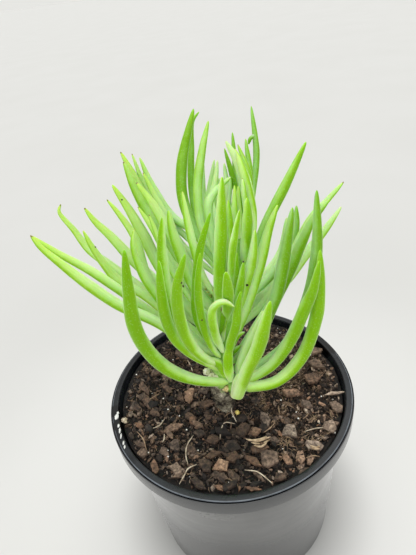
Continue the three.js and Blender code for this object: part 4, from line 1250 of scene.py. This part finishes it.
# A broken outline stays within its ellipse, so a flake is drawn a little larger than its size
LENGTH_MARGIN, WIDTH_MARGIN = 1.25, 1.3
LARGE_THICKNESS = (0.5, 0.7)
LARGE_LEVELS = [(-1.0, 0.84), (-0.2, 1.0), (0.7, 0.98), (0.9, 0.93), (0.95, 0.6), (1.0, 0.3)]
BARK_LAYER = 0.22
LAYERS = 3


def lay_chip(number, x, y, length, width, heading, tone, grey):
    chip = flake(f"large_chip_{number}", 4 + number % 3, 3, rng.uniform(*LARGE_THICKNESS), LARGE_LEVELS)
    thick = min(max(THICKNESS_OF_WIDTH * width, THINNEST), THICKEST)
    turn = Matrix.Rotation(math.radians(heading), 4, "Z")
    for reach, axis in ((LARGE_CHIP_TILT_X, "X"), (LARGE_CHIP_TILT_Y, "Y")):
        turn = turn @ Matrix.Rotation(rng.uniform(-reach, reach), 4, axis)
    for vert in chip.data.vertices:
        layer = noise.noise(Vector((vert.co.x * 3, vert.co.y * 3, number)))
        vert.co.z += round(layer * LAYERS) * BARK_LAYER / thick if vert.co.z > 0 else 0
    lift = LARGE_CHIP_LIFT + LIFT_BY_WIDTH * width
    place = Matrix.Translation(Vector((x, y, ground_height(x, y) + lift)) * MM)
    spread = Matrix.Diagonal((length * LENGTH_MARGIN * MM, width * WIDTH_MARGIN * MM, thick * MM, 1))
    chip.data.transform(place @ turn @ spread)
    scene.collection.objects.link(chip)
    mark(chip, tone, grey)
    return chip


large_chips = join([lay_chip(number, *facts) for number, facts in enumerate(LARGE_CHIPS)], "large_chips")
large_chips.data.materials.append(bark)
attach(large_chips, "root")
print("large chips:", len(LARGE_CHIPS), "triangles:", triangles(large_chips))

# %% [markdown]
# ## Fibres and roots
#
# Between the chips lie thin splinters and fibres of bark, and a few pale roots reach the surface.
# Both are fine strands that follow a path, so a second small tree sweeps a ring along many paths at
# once. Each strand thins out towards both ends.

# %% Geometry Nodes tree of a strand
STRAND_TIP, STRAND_TAPER = 0.02, 0.4


def strand_tree():
    tree, given = open_tree("strand_along_paths", {"Thickness": 0.0005}, {"Sides": 4}, "Paths")
    circle = add(tree, "GeometryNodeCurvePrimitiveCircle", inputs={
        "Resolution": given["Sides"], "Radius": 1.0})
    factor = add(tree, "GeometryNodeSplineParameter").outputs["Factor"]
    ends = add(tree, "Math", "MULTIPLY", [factor, math.pi])
    ends = add(tree, "Math", "SINE", [ends])
    ends = add(tree, "Math", "MAXIMUM", [ends, STRAND_TIP])
    slim = add(tree, "Math", "POWER", [ends, STRAND_TAPER])
    radius = add(tree, "Math", "MULTIPLY", [given["Thickness"], 0.5])
    radius = add(tree, "Math", "MULTIPLY", [radius, slim])
    swept = add(tree, "GeometryNodeCurveToMesh", inputs={
        "Curve": given["Paths"], "Profile Curve": circle, "Scale": radius, "Fill Caps": True})
    smooth = add(tree, "GeometryNodeSetShadeSmooth", inputs=[swept])
    close_tree(tree, smooth, given["Material"])
    return tree


strand_rule = strand_tree()


def strands(name, routes, thickness, sides, material):
    carrier = curve_object(name + "_paths", routes)
    made = run_tree(
        carrier, strand_rule, {"Thickness": thickness * MM, "Sides": sides, "Material": material}, name)
    bpy.data.objects.remove(carrier)
    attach(made, "root")
    print(name, "triangles:", triangles(made))
    return made


# %% [markdown]
# Fibres are the torn inner bark, a few millimetres long and as fine as thick thread, brown to straw.
# There are thousands, so their paths come from a seeded draw. More than half are drawn in the right
# half of the pot, where the mix is more fibrous.

# %% Fibres
FIBRES = 4000
FIBRE_STEPS = 5
FIBROUS_SHARE = 0.6
FIBROUS_SIDE = (-0.35 * math.pi, 0.85 * math.pi)
FIBRE_LENGTHS, FIBRE_CURLS = (1.5, 6.5), (-0.12, 0.12)
FIBRE_RISES, FIBRE_ARCHES, FIBRE_DROP = (0.8, 2.8), (0.0, 0.6), 0.6
FIBRE_THICKNESS = 0.36


def fibre_route():
    reach = (GROUND_RADIUS - 5) * math.sqrt(rng.uniform())
    angle = rng.uniform(*(FIBROUS_SIDE if rng.uniform() < FIBROUS_SHARE else (0, 2 * math.pi)))
    x, y = reach * math.cos(angle), reach * math.sin(angle)
    heading = rng.uniform(0, 2 * math.pi)
    length = rng.uniform(*FIBRE_LENGTHS)
    curl = rng.uniform(*FIBRE_CURLS)
    rise = rng.uniform(*FIBRE_RISES)
    arch = rng.uniform(*FIBRE_ARCHES)
    route = []
    for step in range(FIBRE_STEPS):
        share = step / (FIBRE_STEPS - 1)
        lift = rise + arch * math.sin(share * math.pi) - FIBRE_DROP * share
        route.append(Vector((x, y, ground_height(x, y) + lift)))
        heading += curl
        x += math.cos(heading) * length / (FIBRE_STEPS - 1)
        y += math.sin(heading) * length / (FIBRE_STEPS - 1)
    return route


FIBRE_TINTS = [(0.36, "#140c07"), (0.46, "#3c2c20"), (0.54, "#665040"), (0.64, "#a68c70")]
fibre_bark = mottled("shredded_bark_fibre", FIBRE_TINTS, 0.8, {"Scale": 130.0})
strands("bark_fibres", [fibre_route() for _ in range(FIBRES)], FIBRE_THICKNESS, 3, fibre_bark)

# %% [markdown]
# Roots, pale splinters and straws are few and catch the eye, so each path is laid one by one where
# one lies. All are dry and matt: roots nearly white, splinters cream and thicker than the others,
# straws tan and thin.

# %% Roots, splinters and straws
ROOTS = [
    [(-25, -30), (-29, -36), (-30, -42), (-29, -49)], [(-24, -50), (-29, -52), (-31, -55), (-34, -60)],
    [(1, -57), (7, -59), (10, -62), (14, -67)], [(-26, 33), (-24, 27), (-23, 21)],
    [(1, -11), (-1, -17), (1, -25)], [(0, -26), (-6, -25), (-9, -30), (-10, -35)],
    [(38, -39), (44, -38), (51, -39)], [(-42, -15), (-45, -20), (-49, -22)],
    [(-42, -27), (-42, -31), (-43, -33)],
]
SPLINTERS = [
    [(4.6, -38.2), (11.1, -40.4), (18.7, -39.5)], [(7.1, -40.6), (12.5, -42), (17.9, -40.7)],
    [(8.4, -42.9), (12.1, -44.1), (15.8, -42.4)], [(5.6, -39), (11.9, -39.2), (16.5, -38.7)],
    [(38.1, -49.6), (40.9, -51.4), (43.1, -51.2)], [(38.3, -50.9), (40.6, -52.3), (42.8, -52.4)],
]
STRAWS = [
    [(15.3, -36), (19.3, -33.3), (23, -29.8)], [(27.3, -18.2), (27.1, -21.9), (26.7, -24.8)],
    [(39.2, -30.8), (41.3, -29.6), (43.6, -27.6)], [(42.7, -35), (44.4, -33.2), (46, -31.5)],
    [(34.2, -56), (38.6, -55.6), (41.5, -56.6)],
    [(-51.1, -0.3), (-47.5, 2.8), (-44.9, 4.3)], [(-58, -24), (-54, -30), (-52, -37)],
]
ROOT_LIFT, SPLINTER_LIFT = 3.2, 4.2


def laid_routes(routes, lift):
    return [smooth_route([(x, y, ground_height(x, y) + lift) for x, y in places]) for places in routes]


LAID_STRANDS = [
    ("roots", ROOTS, ROOT_LIFT, 0.75, [(0.3, "#8d7a66"), (0.6, "#c9bba6"), (0.8, "#e2d8c8")]),
    ("splinters", SPLINTERS, SPLINTER_LIFT, 1.3, [(0.3, "#7c6248"), (0.6, "#cdb596"), (0.8, "#e8d8bc")]),
    ("straws", STRAWS, SPLINTER_LIFT, 0.6, [(0.3, "#6a5240"), (0.6, "#a58a6e"), (0.8, "#d0b898")]),
]
for name, routes, lift, thickness, stops in LAID_STRANDS:
    skin = mottled("dry_skin_of_" + name, stops, 0.75, {"Scale": 400.0, "Detail": 3.0})
    strands(name, laid_routes(routes, lift), thickness, 8, skin)

# %% [markdown]
# ## Perlite and fertiliser
#
# Perlite is volcanic glass puffed up by heat: bright white, light crumbs with a foamy, matt surface.
# Some came to the top and are laid where they show, and a few more are scattered.

# %% Perlite
PERLITE_SPOTS = [
    (-40, -8), (-36, 34), (-29, 42), (-33, -14), (42, 43), (30, -14), (54, -17), (-23, -40), (-40, -42),
    (-40, -39), (37, -24), (-29, -25), (54, -43), (-43, 1), (-61, 23), (37, -29), (-51, -38),
]
PERLITE_SIZES = (0.9, 1.5)
PERLITE_LIFT = 3.0
FOAM_PER_METRE = 3000.0

perlite, tree, shader = new_material("puffed_perlite")
spot = add(tree, "TexCoord").outputs["Object"]
foam = add(tree, "TexVoronoi", inputs={"Vector": spot, "Scale": FOAM_PER_METRE})
tints = add(tree, "ValToRGB", {"stops": [(0.0, "#cfcac0"), (0.6, "#f4f2ec")]}, [foam])
bump = add(tree, "Bump", inputs={"Height": foam, "Strength": 0.5, "Distance": 0.0002})
fill(shader, {"Base Color": tints, "Roughness": 0.9, "Normal": bump})


def grain(number, x, y, size):
    made = crumb(f"grain_{number}")
    turn = Matrix.Rotation(rng.uniform(0, 6), 4, "Z") @ Matrix.Rotation(rng.uniform(0, 3), 4, "X")
    place = Matrix.Translation(Vector((x, y, ground_height(x, y) + PERLITE_LIFT)) * MM)
    made.data.transform(place @ turn @ Matrix.Scale(size * MM, 4))
    scene.collection.objects.link(made)
    return made


grains = [grain(i, x, y, rng.uniform(*PERLITE_SIZES)) for i, (x, y) in enumerate(PERLITE_SPOTS)]
perlite_grains = join(grains, "perlite_grains")
perlite_grains.data.materials.append(perlite)
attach(perlite_grains, "root")
scatter("perlite_dust", crumb_shapes, Spacing=0.014, Density=5000.0, Smallest=0.0005, Largest=0.0011,
        Tilt=1.2, Lift=0.0026, Seed=57, Material=perlite)

# %% [markdown]
# One yellow prill of coated fertiliser lies in front of the stem. It is a ball of salts in a clear
# resin, so it is smooth, with a slight gloss and an uneven ochre colour.

# %% Fertiliser prill
RESIN_TINTS = [(0.35, "#b8a040"), (0.65, "#e8d67c")]
resin = mottled("resin_coated_fertiliser", RESIN_TINTS, 0.35, {"Scale": 700.0})
PRILL_SPOT, PRILL_LIFT, PRILL_RADIUS = (2.4, -18.6), 3.0, 1.35
prill_middle = (*PRILL_SPOT, ground_height(*PRILL_SPOT) + PRILL_LIFT)
prill = knob("fertiliser_prill", prill_middle, (PRILL_RADIUS,) * 3, 8.0, resin)
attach(prill, "root")
print("prill, mm:", [round(v / MM, 1) for v in prill.dimensions])

# %% [markdown]
# ## The nursery pot
#
# The pot is thin black polypropylene, moulded in one piece: a conical wall, a stiffening ring folded
# out at the rim with a skirt that hangs outside, and drain holes in the floor. It turns round one
# axis, so its profile is drawn once, with small rounded corners, and turned in fine steps. The
# drain holes are cut with a Boolean. The drills are turned a little, so that no corner of theirs
# falls on an edge of the pot, which would leave slivers.

# %% Pot shape
POT_HEIGHT = 122.0
POT_STEPS = 224
CORNER_STEPS = 4
DRAIN_HOLES = 6
DRAIN_RADIUS = 4.5
DRAIN_SIDES = 40
DRAIN_CIRCLE = 46.0
DRILL_TURN = 0.04
# Radius, height and corner rounding along the profile, from the centre of the underside outwards
POT_PROFILE = [
    (59.5, 0.0, 0.4), (62.9, 0.0, 0.8), (69.2, 107.5, 0.6), (70.6, 111.5, 0.5), (72.0, 118.7, 0.6),
    (74.3, 118.7, 0.6), (74.5, 111.6, 0.2), (75.5, 111.5, 0.35), (75.6, 120.9, 0.3), (75.25, 121.1, 0.1),
    (75.15, 119.8, 0.1), (74.7, 119.8, 0.1), (74.6, 121.75, 0.35), (71.0, 122.0, 0.6), (70.5, 120.6, 0.4),
    (69.2, 111.5, 0.5), (67.8, 107.5, 0.6), (61.5, 2.0, 1.0),
]


def rounded_profile(corners):
    points = []
    spots = [Vector((r, h)) for r, h, _ in corners]
    for i, (spot, (_, _, rounding)) in enumerate(zip(spots, corners)):
        if i in (0, len(spots) - 1):
            points.append(spot)
            continue
        back, ahead = spots[i - 1] - spot, spots[i + 1] - spot
        reach = min(rounding, 0.45 * back.length, 0.45 * ahead.length)
        start, end = spot + back.normalized() * reach, spot + ahead.normalized() * reach
        for step in range(CORNER_STEPS + 1):
            t = step / CORNER_STEPS
            points.append(start.lerp(spot, t).lerp(spot.lerp(end, t), t))
    return points


def turned_shell(name, profile, steps):
    rings = []
    for point in profile:
        rings.append([Vector((point.x * math.cos(a), point.x * math.sin(a), point.y))
                      for a in (step / steps * 2 * math.pi for step in range(steps))])
    return loft(name, rings, (0, 0, profile[0].y), (0, 0, profile[-1].y))


pot = turned_shell("fine_pot", rounded_profile(POT_PROFILE), POT_STEPS)
drills = bmesh.new()
for hole in range(DRAIN_HOLES):
    angle = (hole + 0.5) / DRAIN_HOLES * 2 * math.pi
    place = Matrix.Translation(Vector((math.cos(angle), math.sin(angle), 0)) * DRAIN_CIRCLE * MM)
    place = place @ Matrix.Rotation(DRILL_TURN, 4, "Z")
    bmesh.ops.create_cone(
        drills, cap_ends=True, segments=DRAIN_SIDES, radius1=DRAIN_RADIUS * MM, radius2=DRAIN_RADIUS * MM,
        depth=0.01, matrix=place)
drill = in_scene("drills", mesh_from("drills", drills))
cut = pot.modifiers.new("drain_holes", "BOOLEAN")
cut.object = drill
cut.solver = "EXACT"
drilled = bpy.data.meshes.new_from_object(pot.evaluated_get(bpy.context.evaluated_depsgraph_get()))
pot.modifiers.remove(cut)
pot.data = drilled
bpy.data.objects.remove(drill)
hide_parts("nursery_pot")
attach(pot, "root")
print("pot triangles:", triangles(pot))

# %% [markdown]
# ## Moulded black plastic
#
# Polypropylene with carbon black comes out of the mould satin: nearly black where one looks straight
# at it, and bright at a low angle, where it mirrors the white room. A used pot has a thin grey haze
# of dust and dried water on its outer wall, stronger on the wall than on the skirt of the ring,
# cloudy, with fine scuffs that run round the pot. Dust also gives a soft sheen. Haze and sheen fade
# towards the foot, which is painted shade near the floor, and painted shade darkens the front. It is
# the first of two finishes.

# %% Hazed wall
HAZE_CLOUDS_PER_METRE, SCUFFS_PER_METRE, WALL_GRAIN_PER_METRE = 22.0, 240, 900.0
RING_FOOT = 0.1185
PAINTED_FRONT_SHADE_SPOT = (0.024, -0.064, 0.104)
PAINTED_FRONT_SHADE_REACH = 0.05
PAINTED_FRONT_SHADE_LEVEL = 0.72


def hazed_polypropylene():
    material, tree, shader = new_material("moulded_black_polypropylene_with_haze_and_painted_shade")
    spot = add(tree, "TexCoord").outputs["Object"]
    height = add(tree, "SeparateXYZ", inputs=[spot]).outputs["Z"]
    cloud = add(tree, "TexNoise", inputs={
        "Vector": spot, "Scale": HAZE_CLOUDS_PER_METRE, "Detail": 5.0, "Roughness": 0.55})
    band = add(tree, "Mapping", inputs={"Vector": spot, "Scale": (0.08, 0.08, 1.0)})
    scuff = add(tree, "TexNoise", inputs={"Vector": band, "Scale": SCUFFS_PER_METRE, "Detail": 4.0})
    share = add(tree, "Math", "DIVIDE", [height, POT_HEIGHT * MM])
    # The haze and its sheen fade towards the foot: painted shade near the floor.
    haze_level_and_painted_foot_shade = add(tree, "ValToRGB", {"stops": [
        (0.0, "#404040"), (0.4, "#888888"), (0.8, "#e6e6e6"), (0.912, "#ffffff"), (0.915, "#3c3c3c"),
        (1.0, "#4a4a4a")]}, [share])
    cloudy = add(tree, "MapRange", inputs=[cloud, 0.3, 0.7, 0.66, 1])
    scuffed = add(tree, "MapRange", inputs=[scuff, 0.35, 0.7, 0.92, 1.05])
    haze_and_painted_shade = add(tree, "Math", "MULTIPLY", [haze_level_and_painted_foot_shade, cloudy])
    haze_and_painted_shade = add(tree, "Math", "MULTIPLY", [haze_and_painted_shade, scuffed])
    # Painted shade at the front, where the wall faces the camera.
    away = add(tree, "VectorMath", "DISTANCE", [spot, PAINTED_FRONT_SHADE_SPOT])
    painted_front_shade = add(tree, "MapRange", SMOOTHLY, [away, 0, PAINTED_FRONT_SHADE_REACH, PAINTED_FRONT_SHADE_LEVEL, 1])
    haze_and_painted_shade = add(tree, "Math", "MULTIPLY", [haze_and_painted_shade, painted_front_shade])
    tint = add(tree, "Mix", COLOURS, {"Factor": haze_and_painted_shade, 6: "#17191d", 7: "#403f3c"})
    gloss = add(tree, "MapRange", inputs=[haze_and_painted_shade, 0, 1, 0.22, 0.3])
    sheen_of_haze_and_painted_shade = add(tree, "Math", "MULTIPLY", [haze_and_painted_shade, 1.3])
    grain = add(tree, "TexNoise", inputs={"Vector": spot, "Scale": WALL_GRAIN_PER_METRE, "Detail": 2.0})
    bump = add(tree, "Bump", inputs={"Height": grain, "Strength": 0.12, "Distance": 0.0002})
    fill(shader, {
        "Base Color": tint, "Roughness": gloss, "IOR": 1.5, "Specular IOR Level": 1.0,
        "Sheen Weight": sheen_of_haze_and_painted_shade, "Sheen Roughness": 0.35, "Normal": bump})
    return material


pot.data.materials.clear()
pot.data.materials.append(hazed_polypropylene())
print("pot box, mm:", [round(v / MM, 1) for v in pot.dimensions])

# %% [markdown]
# The ring's top and the inside of the pot are clean and darker, with a bluish cast. A thin pale line
# on the ring's outer edge, broken here and there, is a painted highlight where the rounded edge
# catches the light. Parts of the ring are glossy and others dull, and a few wet patches are black and
# shine. Which faces get which finish follows from where they are: those that look up at the ring or
# to the middle are clean.

# %% Clean ring and inside
EDGE_INSIDE, EDGE_OUTSIDE = 0.0741, 0.0748
EDGE_HIGHLIGHT_FROM = 0.1213
DULL_PATCHES_PER_METRE, RING_GRAIN_PER_METRE = 45.0, 500.0
RING_MARGIN = 0.0004
TURNED_INWARDS = -0.3
WET_PATCHES = [
    ((0.0721, 0.0258, 0.122), 0.013), ((-0.0728, -0.007, 0.122), 0.005), ((-0.0698, -0.018, 0.122), 0.004)]


def clean_polypropylene():
    material, tree, shader = new_material("moulded_black_polypropylene")
    spot = add(tree, "TexCoord").outputs["Object"]
    parts = add(tree, "SeparateXYZ", inputs=[spot]).outputs
    flat = add(tree, "CombineXYZ", inputs=[parts["X"], parts["Y"]])
    reach = add(tree, "VectorMath", "LENGTH", [flat])
    # Painted highlight: a thin pale line on the ring's outer edge, broken by the patch noise.
    inner = add(tree, "Math", "GREATER_THAN", [reach, EDGE_INSIDE])
    outer = add(tree, "Math", "LESS_THAN", [reach, EDGE_OUTSIDE])
    high = add(tree, "Math", "GREATER_THAN", [parts["Z"], EDGE_HIGHLIGHT_FROM])
    edge = add(tree, "Math", "MULTIPLY", [inner, outer])
    edge = add(tree, "Math", "MULTIPLY", [edge, high])
    patch = add(tree, "TexNoise", inputs={
        "Vector": spot, "Scale": DULL_PATCHES_PER_METRE, "Detail": 5.0, "Roughness": 0.6})
    highlight_breaks = add(tree, "MapRange", inputs=[patch, 0.35, 0.6, 0.35, 1])
    edge = add(tree, "Math", "MULTIPLY", [edge, highlight_breaks])
    dull = add(tree, "MapRange", inputs=[patch, 0.4, 0.62])
    body = add(tree, "Mix", COLOURS, {"Factor": dull, 6: "#0d1014", 7: "#1e2227"})
    tint = add(tree, "Mix", COLOURS, {"Factor": edge, 6: body, 7: "#6c727a"})
    wet = 0.0
    for middle, size in WET_PATCHES:
        away = add(tree, "VectorMath", "DISTANCE", [spot, middle])
        near = add(tree, "MapRange", inputs=[away, 0.8 * size, size, 1, 0])
        wet = add(tree, "Math", "MAXIMUM", [wet, near])
    tint = add(tree, "Mix", COLOURS, {"Factor": wet, 6: tint, 7: "#040405"})
    rough = add(tree, "MapRange", inputs=[dull, 0, 1, 0.14, 0.4])
    gloss = add(tree, "MapRange", inputs=[wet, 0, 1, rough, 0.06])
    grain = add(tree, "TexNoise", inputs={"Vector": spot, "Scale": RING_GRAIN_PER_METRE, "Detail": 3.0})
    bump = add(tree, "Bump", inputs={"Height": grain, "Strength": 0.2, "Distance": 0.0002})
    fill(shader, {
        "Base Color": tint, "Roughness": gloss, "IOR": 1.5, "Specular IOR Level": 0.3, "Normal": bump})
    return material


pot.data.materials.append(clean_polypropylene())
clean_faces = 0
for face in pot.data.polygons:
    outwards = face.center.xy.normalized().dot(face.normal.xy)
    on_ring = face.center.z > RING_FOOT and face.center.xy.length < EDGE_OUTSIDE + RING_MARGIN
    face.material_index = int(outwards < TURNED_INWARDS or on_ring)
    clean_faces += face.material_index
print("clean faces:", clean_faces, "of", len(pot.data.polygons))

# %% [markdown]
# ## Specks and flecks
#
# Small accidents make the object look used. A few leaves have a dark scab where a thrips or a knock
# hurt them. On the left of the ring, white knobs are painted glints where water on the plastic
# reflects the light, and a little tan perlite dust has dried beside them. Each is a low lumpy knob,
# half sunk in what carries it.

# %% Scabs on leaves, painted glints and flecks on the ring
SCABS = [
    ((-62.1, 22.6, 221.6), (0.6, 0.4, 0.6)), ((-14.8, -37.9, 231.4), (0.5, 0.3, 0.6)),
    ((-14.2, -37.5, 229.2), (0.3, 0.25, 0.6)), ((15.2, -16.9, 209.8), (0.6, 0.4, 0.6)),
    ((-9.1, -26.9, 200.4), (0.4, 0.3, 0.4)), ((-43.4, 34.3, 241.8), (0.45, 0.3, 0.5)),
    ((19.9, 5.8, 255.7), (0.35, 0.25, 0.35)), ((14.0, -21.2, 226.4), (0.35, 0.4, 0.3)),
]
# Painted glints: white knobs where water on the ring reflects the light.
PAINTED_GLINTS = [
    ((-71.0, -11.8, 122.1), (1.1, 2.0, 0.6)), ((-70.4, -9.0, 122.1), (0.7, 1.0, 0.5)),
    ((-69.2, -18.6, 122.0), (0.6, 1.2, 0.4)), ((-68.2, -22.2, 122.0), (0.5, 1.9, 0.4)),
    ((-67.1, -26.2, 122.0), (0.4, 1.8, 0.4)), ((-65.3, -31.0, 122.0), (0.5, 1.2, 0.4)),
    ((-64.4, -33.8, 122.0), (0.5, 1.1, 0.3)),
]
TAN_FLECKS = [((-66.9, -13.0, 119.6), (1.7, 1.5, 1.2)), ((-66.0, -14.6, 119.4), (1.0, 0.8, 0.8))]
SMALL_THINGS = [
    ("leaf_scabs", "leaf", SCABS, [(0.35, "#20140c"), (0.6, "#3c2818"), (0.75, "#5e4326")]),
    ("lime_flecks", "pot", PAINTED_GLINTS, [(0.3, "#c8c8c4"), (0.6, "#f4f4f2")]),
    ("tan_flecks", "pot", TAN_FLECKS, [(0.35, "#9a8468"), (0.6, "#d8cbb4"), (0.7, "#efe8da")]),
]
for name, slot, places, stops in SMALL_THINGS:
    finish = mottled("finish_of_" + name, stops, *PAPERY_LOOK)
    knobs = [knob(f"{name}_{i}", *place, 1.3 * i, finish, lumps=0.5) for i, place in enumerate(places)]
    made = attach(join(knobs, name), "root")
    print(name, "triangles:", triangles(made))
